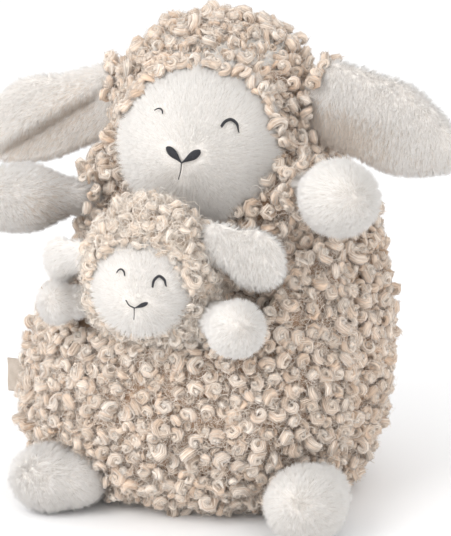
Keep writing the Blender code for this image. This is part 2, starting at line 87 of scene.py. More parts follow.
class Table:
    """Smooth values of a table's columns at any height (cubic through the rows)."""

    def __init__(self, rows):
        rows = np.array(rows, float)
        self.heights, self.values = rows[:, 0], rows[:, 1:]
        self.slopes = np.gradient(self.values, self.heights, axis=0)

    def __call__(self, z):
        z = np.asarray(z, float)
        k = np.clip(np.searchsorted(self.heights, z) - 1, 0, len(self.heights) - 2)
        step = self.heights[k + 1] - self.heights[k]
        t = np.clip((z - self.heights[k]) / step, 0, 1)[..., None]
        step = step[..., None]
        out = (
            (2 * t**3 - 3 * t**2 + 1) * self.values[k]
            + (t**3 - 2 * t**2 + t) * step * self.slopes[k]
            + (-2 * t**3 + 3 * t**2) * self.values[k + 1]
            + (t**3 - t**2) * step * self.slopes[k + 1]
        )
        return np.moveaxis(out, -1, 0)


BODY = Table(
    (
        (0, 74, 54, -1, -2),
        (4, 85, 66, -1, -2),
        (10, 95, 77, -2, -3),
        (22, 102, 87, -3, -4),
        (40, 108, 93, -4, -4),
        (60, 110.5, 95, -4, -1),
        (80, 109.5, 96, -1, 1),
        (100, 106, 95, 3, 3),
        (130, 97, 86, 13, 6),
        (150, 89, 79, 19, 8),
        (165, 84, 75, 23, 8),
        (180, 76, 71, 23, 6),
        (190, 71, 69, 22, 5),
        (200, 67, 67, 20, 3),
    )
)
POUCH = Table(((0, -52), (10, -78), (22, -89), (40, -96), (60, -99.5), (80, -99.5), (110, -97), (140, -85), (165, -62)))
LAMB = Table(
    (
        (16, 25, 6.5, -64.5),
        (22, 36, 11, -65.5),
        (32, 43.5, 13.5, -66.5),
        (60, 46.5, 14.5, -68.5),
        (90, 43, 14, -71),
        (107, 37.5, 13.5, -72.5),
        (114, 36, 17, -79),
        (124, 35, 23.5, -90.5),
        (135, 36, 26, -95),
        (150, 36.5, 26, -97),
    )
)


def body_section(z):
    z = np.asarray(z, float)
    a, back, yc, xc = BODY(np.minimum(z, CROWN_BASE))
    rise = np.clip((z - CROWN_BASE) / (CROWN_TOP - CROWN_BASE), 0, 1)
    c = (1 - rise**CROWN_POWER) ** (1 / CROWN_POWER)
    front = yc - FRONT_PLANE
    ease = smooth(0, 0.5, rise)
    return a * c, back * c, front * c, yc + (15 - yc) * ease, xc + (1 - xc) * ease, 2 + 1 - smooth(105, 165, z)


def stacked(x, y, z):
    x, y, z = np.broadcast_arrays(x, y, z)
    return np.stack([x, y, z], -1).astype(float)


def body_point(angle, z, inset=0.0):
    a, back, front, yc, xc, power = body_section(z)
    a, back, front = (np.maximum(v - inset, 0.3) for v in (a, back, front))
    c, s = np.cos(np.radians(angle)), np.sin(np.radians(angle))
    e = 2.0 / power
    x = np.where(s >= 0, xc + a * c, xc + a * np.sign(c) * np.abs(c) ** e)
    y = np.where(s >= 0, yc + back * s, yc - front * np.abs(s) ** e)
    return stacked(x, y, z)


def rim_height(x):
    return POUCH_RIM + 45 * smooth(52, 88, x) + 7 * smooth(85, 106, x) + 13 * smooth(62, 106, -x)


def pouch_outer(u, z):
    a, full, front, yc, xc, power = body_section(z)
    reach = math.cos(math.radians(SEAM)) ** (2.0 / power)
    x = a * reach * np.sin(u * math.pi / 2 * 0.86) / math.sin(math.pi / 2 * 0.86)
    share = np.abs(x / a)
    rest = 1 - share**power
    lean = front / a * share ** (power - 1) * rest ** (1 / power - 1)
    body = -front * rest ** (1 / power) - (POUCH_WALL + LINING + 1.6) * np.sqrt(1 + lean * lean)
    swell = (POUCH(z)[0] - yc) * np.sqrt(1 - share * share)
    mix = 0.5 * (body + swell) - 0.5 * np.sqrt((body - swell) ** 2 + 9)
    dent = FOOT_DENT * np.exp(-(((xc + x + 56) / 24) ** 2)) * smooth(3, 12, z) * (1 - smooth(28, 46, z))
    return stacked(xc + x, yc + mix + dent, z)


def unit(v):
    return v / np.maximum(np.linalg.norm(v, axis=-1, keepdims=True), 1e-9)


def pouch_point(u, z, inset=0.0):
    point = pouch_outer(u, z)
    across = pouch_outer(u + 0.01, z) - pouch_outer(u - 0.01, z)
    upward = pouch_outer(u, z + 0.5) - pouch_outer(u, z - 0.5)
    normal = unit(np.cross(across, upward))
    normal = np.where(normal[..., 1:2] > 0, -normal, normal)
    return point - normal * (np.asarray(inset, float)[..., None] if np.ndim(inset) else inset)


def lamb_section(z):
    z = np.asarray(z, float)
    a, b, yc = LAMB(np.minimum(z, LAMB_CROWN))
    rise = np.clip((z - LAMB_CROWN) / (LAMB_TOP - LAMB_CROWN), 0, 1)
    c = np.sqrt(1 - rise * rise)
    return a * c, b * c, yc + rise


def lamb_point(angle, z, inset=0.0):
    a, b, yc = lamb_section(z)
    a, b = np.maximum(a - inset, 0.3), np.maximum(b - inset, 0.3)
    return stacked(LAMB_X + a * np.cos(np.radians(angle)), yc + b * np.sin(np.radians(angle)), z)


def face_frame(centre, turn, tilt, roll):
    t, e, r = math.radians(turn), math.radians(tilt), math.radians(roll)
    normal = np.array((math.sin(t) * math.cos(e), -math.cos(t) * math.cos(e), math.sin(e)))
    right = np.array((math.cos(t), math.sin(t), 0.0))
    up = -np.cross(normal, right)
    if up[2] < 0:
        up = -up
    return (
        np.array(centre, float),
        right * math.cos(r) - up * math.sin(r),
        right * math.sin(r) + up * math.cos(r),
        normal,
    )


FACE, FACE_RIM, FACE_CURVE = face_frame((12, -43, 216), 10, 12, 9), 45, 58
LAMB_FACE, LAMB_FACE_RIM, LAMB_FACE_CURVE = face_frame((8.5, -117.2, 148), 10, 12, 6), 26, 38


def dome_point(face, curve, rim, p, q, lift=0.0):
    """Point of a domed disc at right p, up q, and its outward direction there."""
    centre, right, up, normal = face
    base = math.sqrt(curve * curve - rim * rim)
    p, q = np.broadcast_arrays(np.asarray(p, float), np.asarray(q, float))
    n = np.sqrt(np.maximum(0, curve * curve - p * p - q * q))
    direction = (p[..., None] * right + q[..., None] * up + n[..., None] * normal) / curve
    lift = np.asarray(lift, float)[..., None] if np.ndim(lift) else lift
    return centre - normal * base + direction * (curve + lift), direction


# ---------------------------------------------------------------- mesh helpers
def make_object(name, verts, faces, uv=None, normals=None, smooth_faces=True):
    """Object from points in mm and a list of face arrays (each of one corner count); uv is one pair per corner."""
    mesh = bpy.data.meshes.new(name)
    verts = np.asarray(verts, np.float32).reshape(-1, 3) * MM
    if any(kind in name for kind in ("curls", "under", "pile", "frizz", "wisps")):
        low = verts[:, 2] < MM      # hairs that reach the floor lie on it
        verts[low, 2] = np.exp(verts[low, 2] / MM - 1) * MM
    corners = np.concatenate([np.asarray(f, np.int32).ravel() for f in faces])
    counts = np.concatenate([np.full(len(f), np.shape(f)[1], np.int32) for f in faces])
    starts = np.concatenate([[0], np.cumsum(counts)[:-1]]).astype(np.int32)
    mesh.vertices.add(len(verts))
    mesh.vertices.foreach_set("co", verts.ravel())
    mesh.loops.add(len(corners))
    mesh.loops.foreach_set("vertex_index", corners)
    mesh.polygons.add(len(counts))
    mesh.polygons.foreach_set("loop_start", starts)
    mesh.update(calc_edges=True)
    if uv is not None:
        flat = np.asarray(uv, np.float32).reshape(-1)
        for layer in ("Lock", "OFBake"):
            mesh.uv_layers.new(name=layer).uv.foreach_set("vector", flat)
    if smooth_faces:
        mesh.shade_smooth()
    if normals is not None:
        mesh.normals_split_custom_set_from_vertices(np.asarray(normals, np.float32).reshape(-1, 3))
    made = bpy.data.objects.new(name, mesh)
    bpy.context.scene.collection.objects.link(made)
    return made


def grid_faces(rows, columns, wrap=False):
    r, c = np.meshgrid(np.arange(rows - 1), np.arange(columns if wrap else columns - 1), indexing="ij")
    n = (c + 1) % columns
    return np.stack([r * columns + c, r * columns + n, (r + 1) * columns + n, (r + 1) * columns + c], -1).reshape(-1, 4)


class Surface:
    """A grid of points with outward directions, used both for a skin and for planting pile on it."""

    def __init__(self, grid, inside, wrap=False):
        self.grid, self.wrap = grid, wrap
        if wrap:
            across = np.roll(grid, -1, 1) - np.roll(grid, 1, 1)
        else:
            across = np.gradient(grid, axis=1)
        along = np.gradient(grid, axis=0)
        normal = np.cross(across, along)
        weak = np.linalg.norm(normal, axis=-1) < 1e-6
        normal = unit(normal)
        away = grid - np.asarray(inside, float)
        if (normal * away).sum() < 0:
            normal = -normal
        normal[weak] = unit(away[weak])
        self.normal = normal

    def corners(self):
        g, n = (self.grid, self.normal) if not self.wrap else (
            np.concatenate([self.grid, self.grid[:, :1]], 1),
            np.concatenate([self.normal, self.normal[:, :1]], 1),
        )
        return g, n

    def scatter(self, per_mm2, rng):
        """Random points, their outward directions and their place in the grid (row and column, 0 to 1)."""
        g, n = self.corners()
        a, b, c, d = g[:-1, :-1], g[:-1, 1:], g[1:, 1:], g[1:, :-1]
        area = 0.5 * np.linalg.norm(np.cross(c - a, d - b), axis=-1)
        count = int(area.sum() * per_mm2)
        pick = np.searchsorted(np.cumsum(area.ravel()), rng.random(count) * area.sum())
        pick = np.minimum(pick, area.size - 1)
        r, k = np.divmod(pick, area.shape[1])
        s, t = rng.random((2, count, 1))

        def mix(v):
            return (v[r, k] * (1 - s) + v[r, k + 1] * s) * (1 - t) + (v[r + 1, k] * (1 - s) + v[r + 1, k + 1] * s) * t

        place = np.stack([(r + t[:, 0]) / area.shape[0], (k + s[:, 0]) / area.shape[1]], -1)
        return mix(g), unit(mix(n)), place

    def skin(self, name, thickness=0.0, uv_scale=1.0):
        rows, columns = self.grid.shape[:2]
        faces = grid_faces(rows, columns, self.wrap)
        a, b, c = (self.grid.reshape(-1, 3)[faces[:, k]] for k in range(3))
        out = (np.cross(b - a, c - a) * self.normal.reshape(-1, 3)[faces[:, 0]]).sum()
        if out < 0:
            faces = faces[:, ::-1]
        made = make_object(name, self.grid, [faces])
        if thickness:
            modifier = made.modifiers.new("cloth", "SOLIDIFY")
            modifier.thickness = thickness * MM
            modifier.offset = -1.0
        return made


def thin_out(points, radius):
    """Indices of points that keep at least radius from each other, taken in order."""
    tree = KDTree(len(points))
    for k, p in enumerate(points):
        tree.insert(p, k)
    tree.balance()
    alive, kept = np.ones(len(points), bool), []
    for k, p in enumerate(points):
        if alive[k]:
            kept.append(k)
            for _, j, _ in tree.find_range(p, radius):
                alive[j] = False
    return np.array(kept, int)


def nearest(points, centres):
    tree = KDTree(len(centres))
    for k, p in enumerate(centres):
        tree.insert(p, k)
    tree.balance()
    return np.array([tree.find(p)[1] for p in points], int)


# ---------------------------------------------------------------- materials
def shader_of(name):
    made = bpy.data.materials.new(name)
    made.use_nodes = True
    tree = made.node_tree
    shader = tree.nodes["Principled BSDF"]
    return made, tree, shader


def node(tree, kind, **values):
    made = tree.nodes.new(kind)
    for key, value in values.items():
        if key.startswith("in_"):
            name = key[3:].replace("_", " ")
            made.inputs[int(name) if name.isdigit() else name].default_value = value
        else:
            setattr(made, key, value)
    return made


def ramp(tree, stops, source):
    made = tree.nodes.new("ShaderNodeValToRGB")
    elements = made.color_ramp.elements
    while len(elements) < len(stops):
        elements.new(0.5)
    for element, (place, colour) in zip(elements, stops):
        element.position = place
        element.color = (*colour, 1)
    tree.links.new(source, made.inputs[0])
    return made.outputs[0]


def mixed(tree, kind, factor, a, b):
    made = tree.nodes.new("ShaderNodeMix")
    made.data_type = "RGBA"
    made.blend_type = kind
    for socket, value in ((made.inputs[0], factor), (made.inputs[6], a), (made.inputs[7], b)):
        if hasattr(value, "is_linked"):
            tree.links.new(value, socket)
        elif np.ndim(value):
            socket.default_value = (*value, 1)
        else:
            socket.default_value = value
    return made.outputs[2]


VARIANTS = 32


def pile_material(name, root, middle, tip, spread=0.10, streak=0.12, sheen=0.25, rough=0.9, warm=(1.0, 0.93, 0.86)):
    """Fibre colour from the lock's own map: u runs from root to tip, v holds a variant and the place round the lock."""
    made, tree, shader = shader_of(name)
    places = node(tree, "ShaderNodeUVMap", uv_map="Lock")
    split = node(tree, "ShaderNodeSeparateXYZ")
    tree.links.new(places.outputs[0], split.inputs[0])
    # The colour runs from a darker, warmer root to a lighter tip: painted shade and painted bounce light deep in the
    # pile, and a painted highlight on the fibre ends.
    colour = ramp(tree, ((0.0, root), (0.35, middle), (0.8, middle), (1.0, tip)), split.outputs[0])
    scaled = node(tree, "ShaderNodeMath", operation="MULTIPLY", in_1=VARIANTS)
    tree.links.new(split.outputs[1], scaled.inputs[0])
    floor = node(tree, "ShaderNodeMath", operation="FLOOR")
    tree.links.new(scaled.outputs[0], floor.inputs[0])
    pick = node(tree, "ShaderNodeTexWhiteNoise", noise_dimensions="1D")
    tree.links.new(floor.outputs[0], pick.inputs["W"])
    shade = ramp(tree, ((0.0, (1 - spread,) * 3), (1.0, (1 + spread * 0.35,) * 3)), pick.outputs[0])
    colour = mixed(tree, "MULTIPLY", 1.0, colour, shade)
    tint = node(tree, "ShaderNodeMath", operation="ADD", in_1=57.0)
    tree.links.new(floor.outputs[0], tint.inputs[0])
    other = node(tree, "ShaderNodeTexWhiteNoise", noise_dimensions="1D")
    tree.links.new(tint.outputs[0], other.inputs["W"])
    colour = mixed(tree, "MULTIPLY", 1.0, colour, ramp(tree, ((0.45, (1, 1, 1)), (1.0, warm)), other.outputs[0]))
    stretch = node(tree, "ShaderNodeCombineXYZ")
    long_u = node(tree, "ShaderNodeMath", operation="MULTIPLY", in_1=5.0)
    long_v = node(tree, "ShaderNodeMath", operation="MULTIPLY", in_1=VARIANTS * 9.0)
    tree.links.new(split.outputs[0], long_u.inputs[0])
    tree.links.new(split.outputs[1], long_v.inputs[0])
    tree.links.new(long_u.outputs[0], stretch.inputs[0])
    tree.links.new(long_v.outputs[0], stretch.inputs[1])
    lines = node(tree, "ShaderNodeTexNoise", in_Scale=1.0, in_Detail=2.0, in_Roughness=0.6)
    tree.links.new(stretch.outputs[0], lines.inputs["Vector"])
    fibres = ramp(tree, ((0.3, (1 - streak * 1.6,) * 3), (0.7, (1 + streak * 0.4,) * 3)), lines.outputs[0])
    colour = mixed(tree, "MULTIPLY", 1.0, colour, fibres)
    tree.links.new(colour, shader.inputs["Base Color"])
    shader.inputs["Roughness"].default_value = rough
    shader.inputs["Specular IOR Level"].default_value = 0.15
    shader.inputs["Sheen Weight"].default_value = sheen
    shader.inputs["Sheen Roughness"].default_value = 0.45
    return made


def cloth_material(name, colour, dark, scale=900.0, depth=0.0004, rough=0.95, weave=False):
    """Felted or woven ground: colour flecks and a fine relief from object coordinates; the flecks are darker where the
    relief is low, and woven cloth is darker in its grooves as painted shade.
    """
    made, tree, shader = shader_of(name)
    places = node(tree, "ShaderNodeTexCoord")
    noise = node(tree, "ShaderNodeTexNoise", in_Scale=scale, in_Detail=3.0, in_Roughness=0.65)
    tree.links.new(places.outputs["Object"], noise.inputs["Vector"])
    patches = node(tree, "ShaderNodeTexNoise", in_Scale=scale / 12, in_Detail=2.0)
    tree.links.new(places.outputs["Object"], patches.inputs["Vector"])
    fine = ramp(tree, ((0.3, dark), (0.7, colour)), noise.outputs[0])
    broad = ramp(tree, ((0.35, (0.86, 0.85, 0.83)), (0.65, (1, 1, 1))), patches.outputs[0])
    base = mixed(tree, "MULTIPLY", 1.0, fine, broad)
    height = noise.outputs[0]
    if weave:
        lines = []
        for turn in (0, 1):
            wave = node(tree, "ShaderNodeTexWave", in_Scale=scale * 0.9, in_Distortion=0.4)
            wave.bands_direction = "XZ"[turn]
            tree.links.new(places.outputs["Object"], wave.inputs["Vector"])
            lines.append(wave.outputs[1])
        both = node(tree, "ShaderNodeMath", operation="MULTIPLY")
        tree.links.new(lines[0], both.inputs[0])
        tree.links.new(lines[1], both.inputs[1])
        height = both.outputs[0]
        # Colour darker where the weave's height is low: painted shade in the grooves.
        base = mixed(tree, "MULTIPLY", 1.0, base, ramp(tree, ((0.0, (0.8, 0.79, 0.77)), (0.6, (1, 1, 1))), height))
    bump = node(tree, "ShaderNodeBump", in_Strength=0.6, in_Distance=depth)
    tree.links.new(height, bump.inputs["Height"])
    tree.links.new(bump.outputs[0], shader.inputs["Normal"])
    tree.links.new(base, shader.inputs["Base Color"])
    shader.inputs["Roughness"].default_value = rough
    shader.inputs["Specular IOR Level"].default_value = 0.15
    shader.inputs["Sheen Weight"].default_value = 0.2
    return made


CURL = pile_material("boucle_locks", (0.69, 0.51, 0.375), (0.95, 0.85, 0.75), (0.99, 0.95, 0.89), spread=0.13, streak=0.26, sheen=0.6, warm=(1.0, 0.95, 0.90))
CURL_LAMB = pile_material("lamb_locks", (0.76, 0.61, 0.48), (0.955, 0.865, 0.77), (0.985, 0.95, 0.90), spread=0.12, streak=0.24, sheen=0.6, warm=(1.0, 0.95, 0.90))
# The lower layer of locks is a darker copy of the lock colours: painted shade under the upper locks.
CURL_UNDER = pile_material("boucle_under_locks_painted_shade", (0.62, 0.45, 0.325), (0.89, 0.77, 0.655), (0.95, 0.87, 0.775), spread=0.13, streak=0.26, sheen=0.5, warm=(1.0, 0.95, 0.90))
# The cloth under the locks is coloured much darker than the locks: the backing's own tone, made darker as painted shade
# in the gaps between the locks.
CURL_GROUND = cloth_material("boucle_ground", (0.52, 0.35, 0.24), (0.38, 0.25, 0.165), 1100, 0.0006)
LAMB_GROUND = cloth_material("lamb_ground", (0.70, 0.55, 0.42), (0.56, 0.42, 0.31), 1100, 0.0006)
FUR = pile_material("white_pile", (0.88, 0.84, 0.80), (0.95, 0.923, 0.888), (0.965, 0.948, 0.922), spread=0.08, streak=0.04, warm=(1.0, 0.975, 0.95))
# A darker, warmer copy of the white pile: painted shade.
FUR_SHADED = pile_material("white_pile_painted_shade", (0.88, 0.835, 0.79), (0.955, 0.92, 0.88), (0.97, 0.945, 0.915), spread=0.09, streak=0.05, warm=(1.0, 0.965, 0.935))
# A lighter, warmer copy of the white pile: painted light.
FUR_PAINTED_LIGHT = pile_material("white_pile_warm", (0.94, 0.895, 0.85), (0.985, 0.955, 0.922), (0.99, 0.975, 0.95), spread=0.06, streak=0.04, warm=(1.0, 0.975, 0.95))
# A beige copy of the white pile for hairs in folds and hollows: painted shade.
FUR_FOLD_SHADE = pile_material("white_pile_fold_painted_shade", (0.76, 0.66, 0.57), (0.875, 0.785, 0.70), (0.915, 0.84, 0.77), spread=0.10, streak=0.06, warm=(1.0, 0.96, 0.92))
# The skin under the white pile is darker than the hairs: painted shade under the pile.
SKIN = cloth_material("white_pile_ground", (0.84, 0.80, 0.76), (0.76, 0.72, 0.68), 1500, 0.0002)
LINING_CLOTH = cloth_material("lining_weave", (0.62, 0.54, 0.45), (0.50, 0.42, 0.34), 1400, 0.0002, weave=True)
BASE_CLOTH = cloth_material("base_weave", (0.55, 0.45, 0.35), (0.42, 0.33, 0.25), 1200, 0.0003, weave=True)
LABEL_CLOTH = cloth_material("label_weave", (0.72, 0.64, 0.57), (0.60, 0.52, 0.45), 1900, 0.00015, weave=True)
THREAD = cloth_material("charcoal_thread", (0.050, 0.051, 0.058), (0.022, 0.022, 0.027), 2600, 0.0001, rough=0.6)
FIBRE = cloth_material("polyester_fill", (0.88, 0.88, 0.87), (0.76, 0.76, 0.75), 500, 0.001)
PELLETS = cloth_material("pellet_plastic", (0.80, 0.80, 0.78), (0.66, 0.66, 0.64), 320, 0.002, rough=0.45)
BAG = cloth_material("bag_weave", (0.84, 0.83, 0.79), (0.72, 0.71, 0.67), 1300, 0.0002, weave=True)


def dress(made, look):
    made.data.materials.clear()
    made.data.materials.append(look)
    return made


for name, look in frame["nodes"].items():
    if "stuffing" in name:
        kind = FIBRE
    elif name == "pellet_fill":
        kind = PELLETS
    elif name == "pellet_bag":
        kind = BAG
    elif name == "base_panel":
        kind = BASE_CLOTH
    else:
        continue
    look.data.materials.clear()
    look.data.materials.append(kind)


# ---------------------------------------------------------------- curls
def basis(normal, rng):
    """Two random directions square to each normal and to each other."""
    helper = np.where(np.abs(normal[:, 2:3]) < 0.9, (0, 0, 1.0), (1.0, 0, 0))
    e1 = unit(np.cross(helper, normal))
    e2 = np.cross(normal, e1)
    turn = rng.random((len(normal), 1)) * 2 * math.pi
    return e1 * np.cos(turn) + e2 * np.sin(turn), e2 * np.cos(turn) - e1 * np.sin(turn)


def tube(path, across, outward, radius, flat, sides):
    """Rings round paths (n, rings, 3): verts (n, rings, sides, 3)."""
    phi = np.arange(sides) / sides * 2 * math.pi
    ring = across[:, :, None] * (np.cos(phi) * flat)[:, None] + outward[:, :, None] * np.sin(phi)[:, None]
    return path[:, :, None] + ring * radius[..., None, None]


def curl_piece(name, points, normals, rng, size=1.0, lift=0.0, lie=1.0, fuzz=1.0, buns=0.5, strands=28, look=None):
    """Locks of wool: each rises from its root and winds into a rosette or a hook, as a bundle of hairs round a core."""
    n, rings, sides = len(points), 14, 5
    t = np.linspace(0, 1, rings)[None, :, None]
    tangent, side = basis(normals, rng)
    size = np.broadcast_to(size, n)[:, None, None] * rng.uniform(0.82, 1.2, (n, 1, 1))
    rosette = rng.random((n, 1)) < buns
    tilt = np.radians(np.where(rosette, rng.uniform(0, 42, (n, 1)), rng.uniform(20, 85, (n, 1)))) * lie
    axis = normals * np.cos(tilt) + tangent * np.sin(tilt)
    u = side
    v = np.cross(axis, u)
    turns = np.where(rosette, rng.uniform(1.15, 1.65, (n, 1)), rng.uniform(0.7, 1.2, (n, 1)))[..., None]
    start = rng.random((n, 1, 1)) * 2 * math.pi
    hand = np.where(rng.random((n, 1, 1)) < 0.5, -1, 1)
    wide = np.where(rosette, 4.3, 3.9)[..., None] * size
    narrow = wide * np.where(rosette, rng.uniform(-0.3, -0.05, (n, 1)), rng.uniform(0.2, 0.65, (n, 1)))[..., None]
    theta = start + hand * 2 * math.pi * turns * t
    wobble = 1 + 0.08 * np.sin(theta * rng.uniform(1.4, 2.4, (n, 1, 1)) + rng.uniform(0, 6.28, (n, 1, 1)))
    r = (wide + (narrow - wide) * t**1.15) * wobble
    rise = np.where(rosette, rng.uniform(1.2, 3.4, (n, 1)), rng.uniform(0.4, 3.0, (n, 1)))[..., None] * size * t
    centre = points + normals * (0.8 + lift + rng.uniform(0, 2.6, (n, 1)) + 2.4 * size[:, 0] * np.sin(tilt))
    radial = np.cos(theta) * u[:, None] + np.sin(theta) * v[:, None]
    oval = rng.uniform(0.72, 1.0, (n, 1, 1))
    ring = r * (np.cos(theta) * u[:, None] * oval + np.sin(theta) * v[:, None])
    path = centre[:, None] + ring + rise * axis[:, None]
    drop = smooth(0, 0.2, t)
    foot = (points - normals * 0.8)[:, None] + ring * 0.35
    path = foot * (1 - drop) + path * drop
    path = path + rng.normal(0, 0.14, (n, 1, 3)) * np.sin(t * math.pi * 3) * size
    along = unit(np.gradient(path, axis=1))
    outward = unit(radial - along * (radial * along).sum(-1, keepdims=True))
    across = np.cross(along, outward)
    plump = rng.uniform(0.82, 1.18, (n, 1))
    taper = np.where(rosette, 0.38, 0.7) * smooth(0.5, 1.0, t[..., 0])
    thick = np.where(rosette, 2.15, 1.95) * size[..., 0] * plump * (0.6 + 0.4 * smooth(0, 0.25, t[..., 0])) * (1 - taper)
    thick = thick * np.where(np.arange(rings) == rings - 1, 0.15, 1.0)
    verts = tube(path, across, outward, thick * 0.88, 1.12, sides)
    row = rng.integers(0, VARIANTS, n)
    base = (np.arange(n) * rings * sides)[:, None, None, None]
    r, k = np.arange(rings - 1)[:, None, None], np.arange(sides)[None, :, None]
    quad = np.concatenate([r * sides + k, r * sides + (k + 1) % sides, (r + 1) * sides + (k + 1) % sides, (r + 1) * sides + k], -1)
    quads = (base + quad[None]).reshape(-1, 4)
    u = np.concatenate([r, r, r + 1, r + 1], -1) / (rings - 1) + 0.0 * k
    w = np.concatenate([k, k + 1, k + 1, k], -1) / sides + 0.0 * r
    v = (row[:, None, None, None] + 0.03 + 0.94 * w[None]) / VARIANTS
    # The core tube takes only the darker root end of the colour ramp: painted shade inside the bundle of hairs.
    uv = np.stack([np.broadcast_to(u[None] * 0.33 + 0.03, v.shape), v], -1).reshape(-1, 2)
    # The hairs: thin strips wound along the lock, most of them on it, some loose beside it
    steps = 7
    pick = np.linspace(1, rings - 1, steps).round().astype(int)
    share = np.linspace(0, 1, steps)
    angle = (np.arange(strands) * 2 * math.pi / strands)[None, :, None] + rng.normal(0, 0.16, (n, strands, 1))
    angle = angle + share * rng.uniform(-1.3, 1.3, (n, 1, 1)) + share * rng.normal(0, 0.35, (n, strands, 1))
    loose = rng.random((n, strands, 1)) < 0.3
    off = thick[:, None, pick] * np.where(loose, rng.uniform(1.05, 1.75, (n, strands, 1)), rng.uniform(0.92, 1.1, (n, strands, 1)))
    off = off + np.where(loose, rng.uniform(0.1, 1.5, (n, strands, 1)), 0.15) * share**1.5 * fuzz + 0.05
    ring = across[:, None, pick] * (np.cos(angle) * 1.12)[..., None] + outward[:, None, pick] * np.sin(angle)[..., None]
    spine = path[:, None, pick] + ring * off[..., None]
    spine[:, :, -1] += along[:, None, -1] * rng.uniform(0, 1.7, (n, strands, 1)) * fuzz
    edge = unit(np.cross(ring, along[:, None, pick]))
    half = np.where(loose, rng.uniform(0.05, 0.09, (n, strands, 1)), rng.uniform(0.11, 0.23, (n, strands, 1)))
    half = (half * size[:, :, :1] * np.array([0.8, 1, 1, 1, 1, 0.8, 0.25]))[..., None]
    strip = np.stack([spine + edge * half, spine - edge * half], 3)
    offset = n * rings * sides
    m = n * strands
    sb = (np.arange(m) * steps * 2)[:, None, None] + offset
    sr = np.arange(steps - 1)[:, None]
    squad = (sb + (sr * 2 + np.array([0, 1, 3, 2]))[None]).reshape(-1, 4)
    su = np.broadcast_to((pick[:-1, None] + (pick[1:] - pick[:-1])[:, None] * np.array([0, 0, 1, 1])) / (rings - 1), (m, steps - 1, 4))
    su = np.clip(su * 0.9 + 0.06 + rng.uniform(-0.2, 0.2, (m, 1, 1)), 0.01, 0.99)
    srow = np.where(rng.random(m) < 0.8, np.repeat(row, strands), rng.integers(0, VARIANTS, m))
    sv = (srow[:, None, None] + 0.1 + rng.random((m, 1, 1)) * 0.7 + np.array([0, 0.06, 0.06, 0])[None, None]) / VARIANTS
    suv = np.stack([su, np.broadcast_to(sv, su.shape)], -1).reshape(-1, 2)
    made = make_object(
        name,
        np.concatenate([verts.reshape(-1, 3), strip.reshape(-1, 3)]),
        [quads, squad],
        np.concatenate([uv, suv]),
    )
    return dress(made, look or CURL)


# ---------------------------------------------------------------- pile (straight fur)
def fur_piece(name, points, normals, comb, rng, length, look=None, width=0.15, lean=0.9, clump=2.6, gather=0.5, stray=0.26):
    """Fine three-sided hairs. comb is the direction each one is brushed in; tips gather a little into tufts."""
    n = len(points)
    comb = comb - normals * (comb * normals).sum(-1, keepdims=True)
    comb = comb / np.maximum(np.linalg.norm(comb, axis=1, keepdims=True), 0.5)
    heading = unit(normals + comb * lean + rng.normal(0, stray, (n, 3)))
    length = np.broadcast_to(length, n) * rng.uniform(0.7, 1.12, n)
    tip = points + heading * length[:, None]
    seeds = rng.permutation(n)[: max(4, int(n / max(1.0, clump * clump * 3.4)))]
    home = seeds[nearest(points, points[seeds])]
    tip = tip + (tip[home] - tip) * gather * rng.uniform(0.3, 1.0, (n, 1))
    heading = unit(tip - points)
    side = unit(np.cross(heading, normals) + 1e-4)
    other = np.cross(heading, side)
    phi = rng.random(n) * 2 * math.pi
    half = width * rng.uniform(0.75, 1.25, (n, 1))
    ring, away = [], []
    for k in range(3):
        a = (phi + k * 2 * math.pi / 3)[:, None]
        direction = side * np.cos(a) + other * np.sin(a)
        ring.append(points - normals * 0.3 + direction * half)
        away.append(unit(direction * 0.55 + normals * 0.75))
    verts = np.stack([*ring, tip], 1)
    shade = np.stack([*away, unit(normals + heading * 0.2)], 1)
    base = (np.arange(n) * 4)[:, None, None]
    tris = (base + np.array([[0, 1, 3], [1, 2, 3], [2, 0, 3]])[None]).reshape(-1, 3)
    a, b, c = verts[:, 0], verts[:, 1], verts[:, 3]
    outside = np.cross(b - a, c - a)
    if (outside * ((a + b) / 2 - points)).sum() < 0:
        tris = tris[:, ::-1]
    row = rng.integers(0, VARIANTS, n)
    v = ((row + 0.15 + 0.5 * rng.random(n)) / VARIANTS)[:, None, None]
    thin = 0.25 / VARIANTS
    u = np.broadcast_to(np.array([0.01, 0.01, 0.99]) if tris[0, 2] % 4 == 3 else np.array([0.99, 0.01, 0.01]), (n, 3, 3))
    v = v + (np.array([0, thin, thin / 2]) if tris[0, 2] % 4 == 3 else np.array([thin / 2, thin, 0])) + 0 * u
    made = make_object(name, verts, [tris], np.stack([u, v], -1).reshape(-1, 2), shade)
    print(name, n)
    return dress(made, look or FUR)


DENSITY = 3.6      # hairs to a square millimetre

# ---------------------------------------------------------------- mother's covers
RNG = np.random.default_rng(20)
SPACING = 7.7


def plant(surface, spacing, keep, rng, crowd=9):
    points, normals, place = surface.scatter(crowd / spacing**2, rng)
    wanted = keep(points, normals, place)
    points, normals = points[wanted], normals[wanted]
    chosen = thin_out(points, spacing)
    return points[chosen], normals[chosen]


def crown_heights(low, count, top):
    lower = np.linspace(low, CROWN_BASE, count)
    upper = CROWN_BASE + (top - CROWN_BASE) * np.sin(np.radians(np.linspace(0, 89.4, 26)[1:]))
    return np.concatenate([lower, upper])


